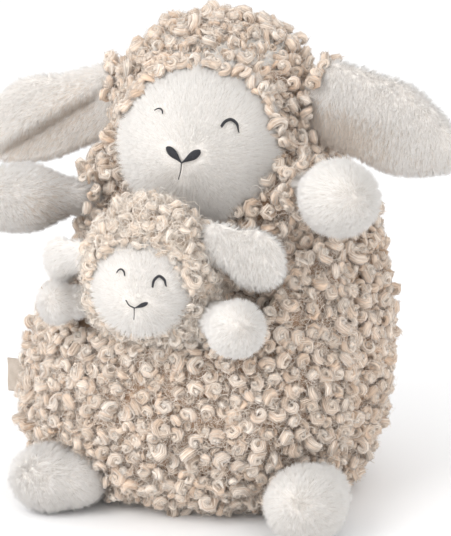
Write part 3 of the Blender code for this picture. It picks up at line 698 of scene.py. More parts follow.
heights = crown_heights(BASE_EDGE, 64, CROWN_TOP)
sunk = (4.0 + 3.0 * smooth(165, 240, heights))[:, None]
back_surface = Surface(
    body_point(np.linspace(SEAM, 180 - SEAM, 90)[None], heights[:, None], sunk) + np.array((0, 0.5, 0)), (0, 20, 120)
)
front_surface = Surface(
    body_point(np.linspace(SEAM, -180 - SEAM, 120)[None], heights[:, None], sunk) + np.array((0, -0.5, 0)), (0, 20, 120)
)
us = np.linspace(-1, 1, 96)[None]
vs = np.linspace(0, 1, 52)[:, None]
pouch_top = rim_height(pouch_point(us, 100.0 + 0 * us)[..., 0])
pouch_z = BASE_EDGE + (pouch_top - BASE_EDGE) * vs
pouch_surface = Surface(pouch_point(us + 0 * vs, pouch_z, 1.8), (0, -45, 50))


def face_distance(points, face):
    away = points - face[0]
    flat = away - (away @ face[3])[:, None] * face[3]
    return np.linalg.norm(flat, axis=1), away @ face[3]


def sink(grid, face, rim, deeper=0.0):
    """The cover is pressed in under a face disc, so that it ends round the disc's rim."""
    d, ahead = face_distance(grid.reshape(-1, 3), face)
    limit = -3.0 - deeper + 70 * smooth(rim - 2, rim + 12, d)
    drop = np.maximum(0, ahead - limit) * (ahead > -35)
    return grid - (drop[:, None] * face[3]).reshape(grid.shape)


def shoulders(grid):
    """The body swells round the sewn roots of the arms, and at the side of the neck."""
    for pivot, along, push, spread in (
        ((-58.6, -44, 178.7), (-0.82, -0.57, 0.02), 18.0, 42.0),
        ((68.4, -40.3, 196.4), (0.80, -0.60, -0.03), 16.0, 36.0),
    ):
        away = grid - np.array(pivot)
        along = unit(np.array(along))
        ahead = away @ along
        off = np.linalg.norm(away - ahead[..., None] * along, axis=-1)
        grid = grid + (push * (1 - smooth(13, spread, off)) * smooth(-45, -15, ahead))[..., None] * along
    x, y, z = np.moveaxis(grid, -1, 0)
    push = 5.0 * np.exp(-(((z - 196) / 22) ** 2)) * smooth(30, 72, -x) * (1 - 0.7 * smooth(10, 60, y))
    return stacked(x - push, y, z - 4.5 * smooth(200, CROWN_TOP, z))


back_surface = Surface(shoulders(back_surface.grid), (0, 20, 120))
front_surface = Surface(shoulders(front_surface.grid), (0, 20, 120))
front_surface = Surface(sink(front_surface.grid, FACE, FACE_RIM), (0, 20, 120))


def front_keep(points, normals, place):
    d, ahead = face_distance(points, FACE)
    in_face = (d < FACE_RIM - 1.0) & (ahead > -30)
    rim = rim_height(points[:, 0])
    in_pouch = (points[:, 2] < rim - 4) & (points[:, 1] < -4)
    edge = np.minimum(place[:, 1], 1 - place[:, 1])
    return ~in_face & ~in_pouch & (edge > 0.004)


def back_keep(points, normals, place):
    edge = np.minimum(place[:, 1], 1 - place[:, 1])
    return edge > 0.004


def pouch_keep(points, normals, place):
    edge = np.minimum(place[:, 1], 1 - place[:, 1])
    return (edge > 0.008)


def frizz_piece(name, surface, keep, density, rng, body, length=4.6):
    points, normals, place = surface.scatter(density, rng)
    wanted = keep(points, normals, place)
    points, normals = points[wanted], normals[wanted]
    comb = rng.normal(0, 1, points.shape)
    made = fur_piece(name, points, normals, comb, rng, length, look=CURL, width=0.24, lean=1.1, clump=3.0, gather=0.5, stray=0.3)
    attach(made, body)


def wisp_piece(name, surface, keep, density, rng, body, low=2.0, high=6.5, look=None):
    """Fine loose hairs that curl between the locks and over them."""
    points, normals, place = surface.scatter(density, rng)
    wanted = keep(points, normals, place)
    points, normals = points[wanted], normals[wanted]
    n, steps = len(points), 6
    tangent, side = basis(normals, rng)
    tilt = rng.uniform(0, 1.35, (n, 1))
    axis = normals * np.cos(tilt) + tangent * np.sin(tilt)
    u, v = side[:, None], np.cross(axis, side)[:, None]
    share = np.linspace(0, 1, steps)[None, :, None]
    hand = np.where(rng.random((n, 1, 1)) < 0.5, -1, 1)
    theta = rng.uniform(0, 6.28, (n, 1, 1)) + hand * rng.uniform(1.6, 4.4, (n, 1, 1)) * share
    radius = rng.uniform(2.2, 5.2, (n, 1, 1)) * (1 - rng.uniform(0, 0.45, (n, 1, 1)) * share)
    height = rng.random((n, 1))
    centre = (points + normals * (low + (high - low) * height))[:, None]
    radial = np.cos(theta) * u + np.sin(theta) * v
    path = centre + radius * radial + axis[:, None] * share * rng.uniform(-1.5, 1.5, (n, 1, 1))
    along = unit(np.gradient(path, axis=1))
    edge = unit(np.cross(along, normals[:, None] + 0.4 * rng.normal(0, 1, (n, 1, 3))))
    half = rng.uniform(0.06, 0.12, (n, 1, 1)) * np.array([0.7, 1, 1, 1, 0.8, 0.2])[None, :, None]
    verts = np.stack([path + edge * half, path - edge * half], 2)
    start = (np.arange(n) * steps * 2)[:, None, None]
    quads = (start + (np.arange(steps - 1)[:, None] * 2 + np.array([0, 1, 3, 2]))[None]).reshape(-1, 4)
    # Wisps low among the locks take darker root colours and high ones lighter colours, and each gets lighter towards
    # its end: painted shade deep among the locks.
    height_shade = np.clip(0.08 + 0.8 * height[..., None] + rng.normal(0, 0.1, (n, 1, 1)), 0.01, 0.88) + 0.1 * (np.arange(steps - 1)[:, None] + np.array([0, 0, 1, 1]))[None] / (steps - 1)
    rows = (rng.integers(0, VARIANTS, n)[:, None, None] + 0.2 + np.array([0, 0.06, 0.06, 0])[None, None] + 0 * height_shade) / VARIANTS
    made = make_object(name, verts.reshape(-1, 3), [quads], np.stack([height_shade, rows], -1).reshape(-1, 2))
    dress(made, look or CURL)
    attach(made, body)


def cut_pieces(name, points, normals, rng, most, **options):
    """Splits a large planting into pieces of at most `most` locks, low to high."""
    order = np.argsort(points[:, 2])
    count = int(math.ceil(len(points) / most))
    pieces = []
    for k, part in enumerate(np.array_split(order, count)):
        under = "under" in name
        size = 0.8 if under else 1.2 - 0.04 * smooth(195, 235, points[part][:, 2])
        buns = 0.3 if under else 0.72
        strands = (8 if "back" in name else 13) if under else 21 if "back" in name else 32
        made = curl_piece(f"{name}_{k + 1}", points[part], normals[part], rng, size=size, buns=buns, strands=strands, **options)
        pieces.append(made)
    return pieces


FRIZZ = 0.32
WISPS = 0.32

pieces = []
fill_heights = crown_heights(7, 40, CROWN_TOP)[:-1]
fill = body_point((np.arange(72) * 5.0)[None], fill_heights[:, None], 9.0 + 0 * fill_heights[:, None])
middle = fill[0].mean(0)
caps = [middle + (fill[0] - middle) * k for k in (0.02, 0.5)]
top = fill[-1].mean(0)
fill = np.concatenate([np.array(caps), fill, (top + (fill[-1] - top) * 0.02)[None]])
fill[..., 2] = np.minimum(fill[..., 2], CROWN_TOP - 12)
fill = Surface(fill, (0, 15, 120), wrap=True)
fill = Surface(sink(fill.grid, FACE, FACE_RIM, 6.5), (0, 15, 120), wrap=True)
made = fill.skin("body_fill")
dress(made, FIBRE)
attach(made, "mother_body")
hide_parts("body_stuffing")

made = back_surface.skin("back_cover_ground", CLOTH)
dress(made, CURL_GROUND)
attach(made, "mother_body")
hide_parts("back_panel")

made = front_surface.skin("front_cover_ground", CLOTH)
dress(made, CURL_GROUND)
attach(made, "mother_body")
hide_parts("front_panel")

made = pouch_surface.skin("pouch_wall_ground", POUCH_WALL)
dress(made, CURL_GROUND)
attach(made, "mother_body")
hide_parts("pouch_panel")

for name, surface, keep in (
    ("back_curls", back_surface, back_keep),
    ("front_curls", front_surface, front_keep),
    ("pouch_curls", pouch_surface, pouch_keep),
):
    points, normals = plant(surface, SPACING * 0.8, keep, RNG)
    for made in cut_pieces(name.replace("curls", "under"), points, normals, RNG, 620, lift=-1.2, look=CURL_UNDER):
        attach(made, "mother_body")
    points, normals = plant(surface, SPACING, keep, RNG)
    for made in cut_pieces(name, points, normals, RNG, 340, lift=0.6):
        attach(made, "mother_body")
    frizz_piece(name.replace("curls", "frizz"), surface, keep, FRIZZ, RNG, "mother_body")
    wisp_piece(name.replace("curls", "wisps"), surface, keep, WISPS * (0.28 if "back" in name else 1.1), RNG, "mother_body")
    print(name, len(points))


for name, column in (("seam_curls_left", 0), ("seam_curls_right", -1), ("pouch_seam_curls_left", 0), ("pouch_seam_curls_right", -1)):
    line = back_surface.grid[:, column]
    line = line[line[:, 2] < 222]
    if "pouch" in name:
        edge = pouch_surface.grid[:, -1 - column]
        line = line[line[:, 2] < edge[:, 2].max()]
        beside = np.stack([np.interp(line[:, 2], edge[:, 2], edge[:, k]) for k in range(3)], 1)
        line = 0.35 * line + 0.65 * beside
    run = np.concatenate([[0], np.cumsum(np.linalg.norm(np.diff(line, axis=0), axis=1))])
    at = np.arange(3.0, run[-1], 4.6)
    points = np.stack([np.interp(at, run, line[:, k]) for k in range(3)], 1) + RNG.normal(0, 1.0, (len(at), 3)) * (0, 1, 1)
    facing = unit((points - np.array((0, 22, 0))) * (1, 1, 0))
    made = curl_piece(name, points, facing, RNG, size=0.98, lift=-1.2)
    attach(made, "mother_body")

rim_u = np.linspace(-0.985, 0.985, 34) + RNG.uniform(-0.006, 0.006, 34)
rim_z = rim_height(pouch_point(rim_u, 100.0 + 0 * rim_u)[..., 0]) - RNG.uniform(0.5, 3.0, 34)
points = pouch_point(rim_u, rim_z, 1.2)
facing = unit(pouch_point(rim_u, rim_z) - pouch_point(rim_u, rim_z, 1.0))
made = curl_piece("pouch_rim_curls", points, unit(facing * 0.6 + np.array((0, 0, 0.75))), RNG, size=1.0, fuzz=1.2)
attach(made, "mother_body")

inner_u = np.linspace(-0.94, -0.5, 9)
inner_z = rim_height(pouch_point(inner_u, 100.0 + 0 * inner_u)[..., 0]) - 2.0
points = pouch_point(inner_u, inner_z, 6.0)
made = curl_piece("pouch_inner_rim_curls", points, unit(np.array((0, 0.3, 1.0)) + 0 * points), RNG, size=1.0, fuzz=1.2)
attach(made, "mother_body")

# ---------------------------------------------------------------- limbs
class Limb:
    """A stuffed limb: hemispherical root about its pivot, a bulge, then a rounded tip."""

    def __init__(self, pivot, along, thin, root, bulge, thin_root, thin_bulge, at, length):
        self.pivot = np.array(pivot, float)
        self.along = unit(np.array(along, float))
        thin = np.array(thin, float)
        self.thin = unit(thin - self.along * (thin @ self.along))
        self.wide = np.cross(self.along, self.thin)
        self.root, self.bulge, self.thin_root, self.thin_bulge = root, bulge, thin_root, thin_bulge
        self.at, self.length = at, length

    def local(self, angle, polar, inset=0.0):
        """Distances along, wide and thin of the surface at these angles (degrees)."""
        root, length = self.root - inset, self.length - inset
        along = -root + (length + root) * (1 - np.cos(np.radians(polar))) / 2
        below = np.sqrt(np.clip(1 - (np.minimum(along, 0) / root) ** 2, 0, 1))
        k = smooth(0, self.at, along)
        beyond = np.sqrt(np.clip(1 - (np.maximum(along - self.at, 0) / (length - self.at)) ** 2, 0, 1))
        w = (root + (self.bulge - self.root) * k) * below * beyond
        t = (self.thin_root - inset + (self.thin_bulge - self.thin_root) * k) * below * beyond
        return along, w * np.cos(np.radians(angle)), t * np.sin(np.radians(angle))

    def rooted(self, deep):
        """A shape that draws the root out to a length, with full width almost to its end."""

        def shape(a, w, t):
            share = np.clip(-a / self.root, 0, 1)
            fuller = np.where(a < 0, (1 - share**5) ** 0.2 / np.maximum(np.sqrt(1 - share**2), 0.03), 1)
            fuller = np.minimum(fuller, 12)
            return np.where(a < 0, a * deep / self.root, a), w * fuller, t * fuller

        return shape

    def grid(self, columns=64, rows=56, shape=None, inset=0.0):
        polar = np.degrees(np.arccos(np.clip(1 - 2 * np.linspace(0, 1, rows) ** 0.95, -1, 1)))[:, None]
        polar = 0.35 * polar + 0.65 * np.linspace(0, 180, rows)[:, None]
        angle = (np.arange(columns) / columns * 360)[None]
        a, w, t = self.local(angle + 0 * polar, polar + 0 * angle, inset)
        if shape is not None:
            a, w, t = shape(a, w, t)
        return self.pivot + a[..., None] * self.along + w[..., None] * self.wide + t[..., None] * self.thin


MOTHER_LIMBS = {
    "ear_left": Limb((92, 5, 230), (0.952, 0, -0.306), (0, 1, 0), 25, 26.5, 9, 10, 21, 69),
    "ear_right": Limb((-85.5, 5, 221.9), (-0.945, 0, -0.328), (0, 1, 0), 22, 24, 9, 10, 26, 76.5),
    "arm_left": Limb((68.4, -40.3, 196.4), (0.80, -0.60, -0.03), (0, 0, 1), 15, 22, 15, 21.5, 46, 71.5),
    "arm_right": Limb((-58.6, -44, 178.7), (-0.82, -0.57, 0.02), (0, 0, 1), 15, 22, 15, 21.5, 49, 79.5),
    "foot_left": Limb((94, -63.5, 21), (-0.06, -0.99, 0.02), (0, 0, 1), 16, 21.5, 16, 20.5, 18, 42),
    "foot_right": Limb((-50, -88.5, 20), (-0.93, -0.37, 0.01), (0, 0, 1), 10.5, 20.5, 10.5, 19.5, 15, 35),
}
LAMB_LIMBS = {
    "baby_ear_left": Limb((51, -96, 169), (0.95, 0.0, -0.31), (0, 1, 0), 12, 17, 5, 5.5, 15, 35),
    "baby_ear_right": Limb((-43.6, -93, 154), (-0.86, 0.42, -0.30), (0.42, 0.86, 0), 9.5, 13, 4.5, 5, 12, 27),
    "baby_arm_left": Limb((50, -104, 129), (0.82, -0.57, -0.04), (0, 0, 1), 10, 16, 9.5, 15.5, 15, 31),
    "baby_arm_right": Limb((-42, -101, 130), (-0.85, -0.52, 0.0), (0, 0, 1), 9.5, 12.5, 9, 12, 10, 24),
}
FIXED_LIMBS = {
    "baby_foot_left": Limb((50.5, -59, 31), (0.97, -0.08, -0.05), (0, 0, 1), 5.3, 5.3, 5.3, 5.3, 2, 6.2),
    "baby_foot_right": Limb((-44.5, -59, 32), (-0.97, -0.08, -0.05), (0, 0, 1), 5.3, 5.3, 5.3, 5.3, 2, 6.2),
}


def dress_limb(name, limb, body, length, deep=None, over=None, shape=None, look=None, spread=1.0, lean=0.75, down=0.35, forward=-0.6, inset=0.0, press=None, shade=None):
    def whole(a, w, t):
        if shape is not None:
            a, w, t = shape(a, w, t)
        return limb.rooted(deep)(a, w, t) if deep else (a, w, t)

    def carry(piece):
        if over is None:
            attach(piece, body)
        else:
            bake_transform(piece)

    grid = limb.grid(shape=whole, inset=inset)
    if press is not None:
        grid = press(grid)
    inside = limb.pivot + limb.along * limb.length * 0.35
    surface = Surface(grid, inside, wrap=True)
    skin = surface.skin(name + "_skin")
    dress(skin, SKIN)
    carry(skin)
    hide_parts(name + "_cover")
    away = grid - limb.pivot
    ahead = (away @ limb.along)[..., None]
    across, through = (away @ limb.wide)[..., None], (away @ limb.thin)[..., None]
    middle = 0.35 * limb.length
    thinner = 0.28 if "ear" in name else 0.8
    inner = limb.pivot + limb.along * (middle + (ahead - middle) * 0.92) + limb.wide * across * 0.82 + limb.thin * through * thinner
    fill = Surface(inner, inside, wrap=True).skin(name + "_fill")
    dress(fill, FIBRE)
    carry(fill)
    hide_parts(name + "_stuffing")
    points, normals, place = surface.scatter(DENSITY * spread, RNG)
    ahead = (points - limb.pivot) @ limb.along
    keep = ahead > (-deep if deep else -limb.root * 0.97)
    points, normals = points[keep], normals[keep]
    comb = limb.along * forward + np.array((0, 0, -down)) + 0 * points
    # Hairs picked by the shade function take the darker fold colour and are a little shorter: painted shade in folds
    # and hollows.
    folded = np.zeros(len(points), bool)
    if shade is not None:
        away = points - limb.pivot
        folded = RNG.random(len(points)) < shade(away @ limb.along, away @ limb.wide, away @ limb.thin)
        fold = fur_piece(name + "_fold_shade_pile", points[folded], normals[folded], comb[folded], RNG, length * 0.9, look=FUR_FOLD_SHADE, lean=lean)
        carry(fold)
    fur = fur_piece(name + "_pile", points[~folded], normals[~folded], comb[~folded], RNG, length, look=look, lean=lean)
    carry(fur)
    return surface


def root_curls(name, limb, wide, thin, out, count, low=0, high=360, size=0.95):
    """Locks of the body that lie over the root of a limb."""
    angle = np.radians(np.linspace(low, high, count, endpoint=False) + RNG.uniform(-6, 6, count))
    radial = np.cos(angle)[:, None] * limb.wide + np.sin(angle)[:, None] * limb.thin
    points = limb.pivot + limb.along * (out + RNG.uniform(-2.5, 2.5, (count, 1)))
    points = points + np.cos(angle)[:, None] * limb.wide * wide + np.sin(angle)[:, None] * limb.thin * thin
    made = curl_piece(name + "_root_curls", points, unit(radial * 0.8 + limb.along * 0.5), RNG, size=size, fuzz=1.2)
    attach(made, "mother_body")


def crease(a, w, t):
    """The ear on the image's left: its upper half rolls forward over a lengthwise fold."""
    w = np.where(w < 0, w * (1 + 0.16 * np.exp(-(((a - 34) / 20) ** 2)) - 0.22 * smooth(46, 80, a)), w)
    line = -3 + 15 * a / 74
    reach = smooth(-20, -4, a) * (1 - smooth(54, 74, a))
    over = 2.4 * np.exp(-(((w - line + 5) / 5.5) ** 2))
    under = np.maximum(-t - 3.2, 0) * smooth(line - 1.2, line + 1.2, w)
    front = np.where(t < 0, np.clip(-t / 4.0, 0, 1), 0)
    return a, w, t + reach * (under - over * front * (1 - smooth(line - 1.2, line + 1.2, w)))


def crease_shade(a, w, t):
    # Share of hairs that take the fold colour, painted shade: in the crease, over the lower lobe and on the rolled
    # upper lobe's underside.
    line = -3 + 15 * a / 74
    reach = smooth(-22, -6, a) * (1 - smooth(50, 78, a))
    deep = np.exp(-(((w - line - 1.0) / 2.8) ** 2))
    below = 0.72 * smooth(line - 2, line + 2, w) * (1 - 0.45 * smooth(line + 4, line + 16, w))
    above = 0.5 * np.exp(-(((w - line + 6) / 7.0) ** 2)) * (1 - 0.7 * smooth(5, 40, a))
    return reach * np.maximum(deep, below + above) * (t < 3)


def hollow(a, w, t):
    """The hollow near the root of the ear on the image's right, whose tip narrows from above."""
    w = np.where(w > 0, w * (1 - 0.42 * smooth(16, 64, a)), w * (1 - 0.22 * smooth(26, 66, a)))
    depth = 2.6 * np.exp(-(((w + 8) / 11.0) ** 2)) * smooth(-14, 0, a) * (1 - smooth(14, 50, a))
    return a, w, np.where(t < 0, t + np.minimum(depth, -0.5 * t), t)


def hollow_shade(a, w, t):
    # Share of hairs that take the fold colour, painted shade: the lower half of the root, a band along the hollow, and
    # a little over the lower side.
    root = 0.9 * (1 - smooth(-4, 40, a)) * (1 - smooth(-10, 6, w))
    band = 0.42 * np.exp(-(((w + 3 - 0.12 * a) / 4.5) ** 2)) * (1 - smooth(10, 40, a))
    return np.maximum(root, band) * (t < 2) + 0.15 * (1 - smooth(-20, 2, w)) * (t < 2)


def dimple_shade(a, w, t):
    """Share of hairs given the fold colour: painted shade in the soft hollow on the arm at the image's left, and a
    little all over it.
    """
    return 0.55 * np.exp(-(((a - 20) / 10) ** 2 + ((t + 3) / 12) ** 2)) + 0.08


def against_pouch(grid):
    """The foot's root is pressed flat against the pouch's wall."""
    x, y, z = np.moveaxis(grid, -1, 0)
    z = np.clip(z, BASE_EDGE, 90)
    a, full, front, yc, xc, power = body_section(z)
    reach = a * math.cos(math.radians(SEAM)) ** (2.0 / power)
    u = np.arcsin(np.clip((x - xc) / reach * math.sin(math.pi / 2 * 0.86), -1, 1)) / (math.pi / 2 * 0.86)
    wall = pouch_outer(u, z)[..., 1] - 1.0 - 0.28 * np.clip(grid[..., 2] - 20, 0, 20)
    return stacked(x, np.minimum(y, wall), grid[..., 2])


FULLER_FOOT = Limb((-50, -88.5, 20), (-0.93, -0.37, 0.01), (0, 0, 1), 19.5, 21, 17.5, 20, 12, 36)
SMALLER_ARM = Limb((-42, -101, 130), (-0.85, -0.52, 0), (0, 0, 1), 9.5, 12.5, 9, 12, 9, 19)
# The ear at the image's left takes the darker copy of the pile as painted shade; the ear at the image's right and the
# arm and foot at the image's left take the lighter copy as painted light.
for name, limb in MOTHER_LIMBS.items():
    pile_look = FUR_SHADED if name == "ear_right" else FUR_PAINTED_LIGHT if name in ("ear_left", "arm_right", "foot_right") else FUR
    if "ear" in name:
        fold, shade = (crease, crease_shade) if name == "ear_right" else (hollow, hollow_shade)
        dress_limb(name, limb, name, 5.0, deep=34, over=22, shape=fold, look=pile_look, forward=0.3, down=0.8, inset=1.2, shade=shade)
        root_curls(name, limb, 18, 10.5, -30.5 if name == "ear_left" else -31, 16, size=1.1)
    elif name == "foot_right":
        dress_limb(name, FULLER_FOOT, name, 5.6, look=pile_look, inset=2.5, press=against_pouch)
    elif "arm" in name:
        if name == "arm_left":
            limb = Limb(limb.pivot + limb.along * 17, limb.along, (0, 0, 1), 8, 22, 8, 21.5, 26, 54.5)
            dress_limb(name, limb, name, 5.6, deep=16, over=16, look=pile_look, inset=3.0)
            root_curls(name, limb, 11, 11, -9, 9, size=0.95)
            root_curls(name + "_outer", limb, 12, 12, -4, 9, size=0.95)
        else:
            limb = Limb(limb.pivot + limb.along * 8, limb.along, (0, 0, 1), 12, 21, 11.5, 20.5, 27, 71.5)
            dress_limb(name, limb, name, 5.6, deep=20, over=20, look=pile_look, inset=3.0, shade=dimple_shade)
            root_curls(name, limb, 15, 15, -8, 11, size=0.95)
            root_curls(name + "_outer", limb, 15.5, 15.5, -13, 11, size=1.05)
    else:
        dress_limb(name, limb, name, 5.6, look=pile_look, inset=1.0)
# The lamb's ear and arm at the image's left take the lighter pile copy as painted light.
for name, limb in LAMB_LIMBS.items():
    if "ear" in name:
        pile_look = FUR_PAINTED_LIGHT if name == "baby_ear_right" else FUR
        dress_limb(name, limb, name, 4.6, deep=limb.root + 4, over=limb.root, look=pile_look, forward=0.5, down=0.6, inset=1.0)
    else:
        small = SMALLER_ARM if name == "baby_arm_right" else limb
        pile_look = FUR_PAINTED_LIGHT if name == "baby_arm_right" else FUR
        dress_limb(name, small, name, 4.8, deep=limb.root + 4, over=limb.root, look=pile_look, inset=1.8)
for name, limb in FIXED_LIMBS.items():
    dress_limb(name, limb, "lamb_body", 2.0, inset=0.8)

# ---------------------------------------------------------------- faces
def dome_surface(face, curve, rim, rings=40, columns=96):
    share = np.sin(np.linspace(0.0, 1, rings) * math.pi / 2 * 0.92) / math.sin(math.pi / 2 * 0.92)
    r = (share * rim)[:, None]
    angle = (np.arange(columns) / columns * 2 * math.pi)[None]
    points, _ = dome_point(face, curve, rim, r * np.cos(angle), r * np.sin(angle))
    return Surface(points, face[0] - face[3] * 40, wrap=True)


def path_on(face, curve, rim, knots, lift, count=60):
    """Smooth curve through (p, q) knots on the dome, returned as (p, q) pairs."""
    knots = np.array(knots, float)
    t = np.concatenate([[0], np.cumsum(np.linalg.norm(np.diff(knots, axis=0), axis=1))])
    t /= t[-1]
    slopes = np.gradient(knots, t, axis=0)
    s = np.linspace(0, 1, count)
    k = np.clip(np.searchsorted(t, s) - 1, 0, len(t) - 2)
    h = (t[k + 1] - t[k])[:, None]
    x = ((s - t[k])[:, None]) / h
    pq = (
        (2 * x**3 - 3 * x**2 + 1) * knots[k]
        + (x**3 - 2 * x**2 + x) * h * slopes[k]
        + (-2 * x**3 + 3 * x**2) * knots[k + 1]
        + (x**3 - x**2) * h * slopes[k + 1]
    )
    return pq


def stitches(name, node_name, body, face, curve, rim, rows, lift, thread=0.27):
    """Satin stitches: each row is (start (p, q), end (p, q)) of one thread laid over the cloth."""
    rows = np.array(rows, float)
    n, steps, sides = len(rows), 7, 6
    t = np.linspace(0, 1, steps)[None, :, None]
    pq = rows[:, None, 0] * (1 - t) + rows[:, None, 1] * t
    arch = np.sin(np.linspace(0, math.pi, steps)) ** 0.7
    centre, out = dome_point(face, curve, rim, pq[..., 0], pq[..., 1], lift + 0.45 * arch[None] - 0.35)
    along = unit(np.gradient(centre, axis=1))
    across = unit(np.cross(along, out))
    phi = np.arange(sides) / sides * 2 * math.pi
    radius = thread * np.array([0.6, 0.95, 1, 1, 1, 0.95, 0.6])
    verts = centre[:, :, None] + (across[:, :, None] * np.cos(phi)[:, None] + out[:, :, None] * np.sin(phi)[:, None]) * radius[None, :, None, None]
    faces = (np.arange(n)[:, None, None] * steps * sides + grid_faces(steps, sides, True)[None]).reshape(-1, 4)
    ends = np.concatenate(
        [np.arange(n)[:, None] * steps * sides + np.arange(sides)[None, ::-1], np.arange(n)[:, None] * steps * sides + (steps - 1) * sides + np.arange(sides)[None]]
    )
    made = make_object(name, verts, [faces, ends])
    dress(made, THREAD)
    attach(made, body)
    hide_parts(node_name)
    return made


def arc_rows(pq, width, spacing=0.34, slant=0.35):
    """Short stitches across a line, each a little slanted; width may change along it."""
    length = np.concatenate([[0], np.cumsum(np.linalg.norm(np.diff(pq, axis=0), axis=1))])
    count = max(4, int(length[-1] / spacing))
    s = np.linspace(0, length[-1], count)
    x = np.stack([np.interp(s, length, pq[:, 0]), np.interp(s, length, pq[:, 1])], -1)
    d = unit(np.gradient(x, axis=0))
    normal = np.stack([-d[:, 1], d[:, 0]], -1)
    half = np.interp(np.linspace(0, 1, count), np.linspace(0, 1, len(width)), width)[:, None] / 2
    reach = normal * half + d * slant
    return np.stack([x - reach, x + reach], 1)


def leaf_rows(tip, junction, width, spacing=0.36):
    """Stitches across a petal that is round at its outer end and narrows to the junction."""
    tip, junction = np.array(tip, float), np.array(junction, float)
    length = np.linalg.norm(junction - tip)
    d = (junction - tip) / length
    normal = np.array((-d[1], d[0]))
    count = int(length / spacing)
    s = (np.arange(count) + 0.5) / count
    half = width / 2 * np.sqrt(np.clip(1 - (np.clip(0.36 - s, 0, 1) / 0.37) ** 2, 0, 1)) * (1 - smooth(0.36, 1.05, s) * 0.86)
    middle = tip + d * (s * length)[:, None]
    reach = normal * half[:, None] + d * 0.25
    return np.stack([middle - reach, middle + reach], 1)


M = (FACE, FACE_CURVE, FACE_RIM)
L = (LAMB_FACE, LAMB_FACE_CURVE, LAMB_FACE_RIM)
EYE_A = path_on(*M, ((15.0, 10.3), (16.2, 13.2), (18.8, 15.1), (21.8, 14.0), (24.5, 9.1)), 0)
EYE_B = path_on(*M, ((-24.0, 11.9), (-22.6, 13.0), (-21.1, 13.4), (-19.6, 12.6), (-18.9, 11.0)), 0)
MOUTH = path_on(*M, ((-2.5, -13.0), (-2.3, -17.5), (-2.9, -22.2)), 0)
BABY_EYE_A = path_on(*L, ((8.7, 1.3), (9.0, 5.0), (11.1, 7.4), (13.6, 6.2), (15.3, 2.8)), 0)
BABY_EYE_B = path_on(*L, ((-11.7, 5.7), (-10.9, 7.3), (-9.5, 7.9), (-7.9, 6.9), (-6.9, 4.9)), 0)
BABY_NOSE_L = path_on(*L, ((-4.4, -7.7), (-2.2, -10.2), (0.5, -11.0)), 0)
BABY_MOUTH = path_on(*L, ((0.5, -11.0), (0.7, -14.0), (0.6, -17.2)), 0)

LIFT = 2.0
stitches("eye_stitches_left", "eye_embroidery_left", "mother_body", *M, arc_rows(EYE_A, (1.5, 1.7, 1.7, 1.3, 0.4)), LIFT)
stitches("eye_stitches_right", "eye_embroidery_right", "mother_body", *M, arc_rows(EYE_B, (0.3, 0.6, 0.9, 0.7, 0.4)), LIFT)
stitches("mouth_stitches", "mouth_embroidery", "mother_body", *M, arc_rows(MOUTH, (0.5, 0.5, 0.5)), LIFT, 0.24)
nose = np.concatenate([leaf_rows((-12.2, -6.3), (-2.6, -13.2), 4.7), leaf_rows((6.9, -4.9), (-2.4, -13.2), 4.7)])
stitches("nose_stitches", "nose_embroidery", "mother_body", *M, nose, LIFT)
SMALL_LIFT = 1.6
stitches("baby_eye_stitches_left", "baby_eye_embroidery_left", "lamb_body", *L, arc_rows(BABY_EYE_A, (1.0, 1.4, 1.5, 1.3, 0.7), 0.3), SMALL_LIFT, 0.22)
stitches("baby_eye_stitches_right", "baby_eye_embroidery_right", "lamb_body", *L, arc_rows(BABY_EYE_B, (0.4, 0.9, 0.9, 0.5), 0.3), SMALL_LIFT, 0.2)
stitches("baby_mouth_stitches", "baby_mouth_embroidery", "lamb_body", *L, arc_rows(BABY_MOUTH, (0.45, 0.45), 0.3), SMALL_LIFT, 0.2)
baby_nose = np.concatenate([arc_rows(BABY_NOSE_L, (0.5, 0.6, 0.6), 0.3, 0.25), leaf_rows((7.4, -7.4), (0.5, -11.2), 2.3, 0.3)])
stitches("baby_nose_stitches", "baby_nose_embroidery", "lamb_body", *L, baby_nose, SMALL_LIFT, 0.22)


def dress_face(name, node_name, body, face, curve, rim, marks, nose_at, long, clear):
    surface = dome_surface(face, curve, rim)
    skin = surface.skin(name + "_skin", 1.0)
    dress(skin, SKIN)
    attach(skin, body)
    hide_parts(node_name)
    points, normals, place = surface.scatter(DENSITY * 1.6, RNG)
    away = points - face[0]
    p, q = away @ face[1], away @ face[2]
    marks = np.concatenate(marks)
    near = np.full(len(points), 1e9)
    for k in range(0, len(marks), 4):
        near = np.minimum(near, np.hypot(p - marks[k, 0], q - marks[k, 1]))
    keep = near > clear * 0.55
    points, normals, p, q, near = points[keep], normals[keep], p[keep], q[keep], near[keep]
    radial = (p - nose_at[0])[:, None] * face[1] + (q - nose_at[1])[:, None] * face[2]
    comb = radial / 6.0
    edge = np.hypot(p, q) / rim
    length = long * (0.62 + 0.38 * smooth(0.55, 1.0, edge)) * (0.38 + 0.62 * smooth(clear * 0.6, clear * 3.4, near))
    fur = fur_piece(name + "_pile", points, normals, comb, RNG, length, lean=1.25, gather=0.5, clump=2.3, width=0.115, stray=0.24)
    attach(fur, body)


petals = [nose.mean(1), (nose[:, 0] * 0.75 + nose[:, 1] * 0.25), (nose[:, 0] * 0.25 + nose[:, 1] * 0.75), nose[:, 0], nose[:, 1]]
dress_face("face", "face_panel", "mother_body", *M, [EYE_A, EYE_B, MOUTH, *[np.repeat(x, 4, axis=0) for x in petals]], (-3.2, -12.7), 6.4, 1.6)
petals = [baby_nose.mean(1), baby_nose[:, 0], baby_nose[:, 1]]
dress_face("baby_face", "baby_face_panel", "lamb_body", *L, [BABY_EYE_A, BABY_EYE_B, BABY_MOUTH, *[np.repeat(x, 4, axis=0) for x in petals]], (0.5, -11.0), 5.2, 1.2)

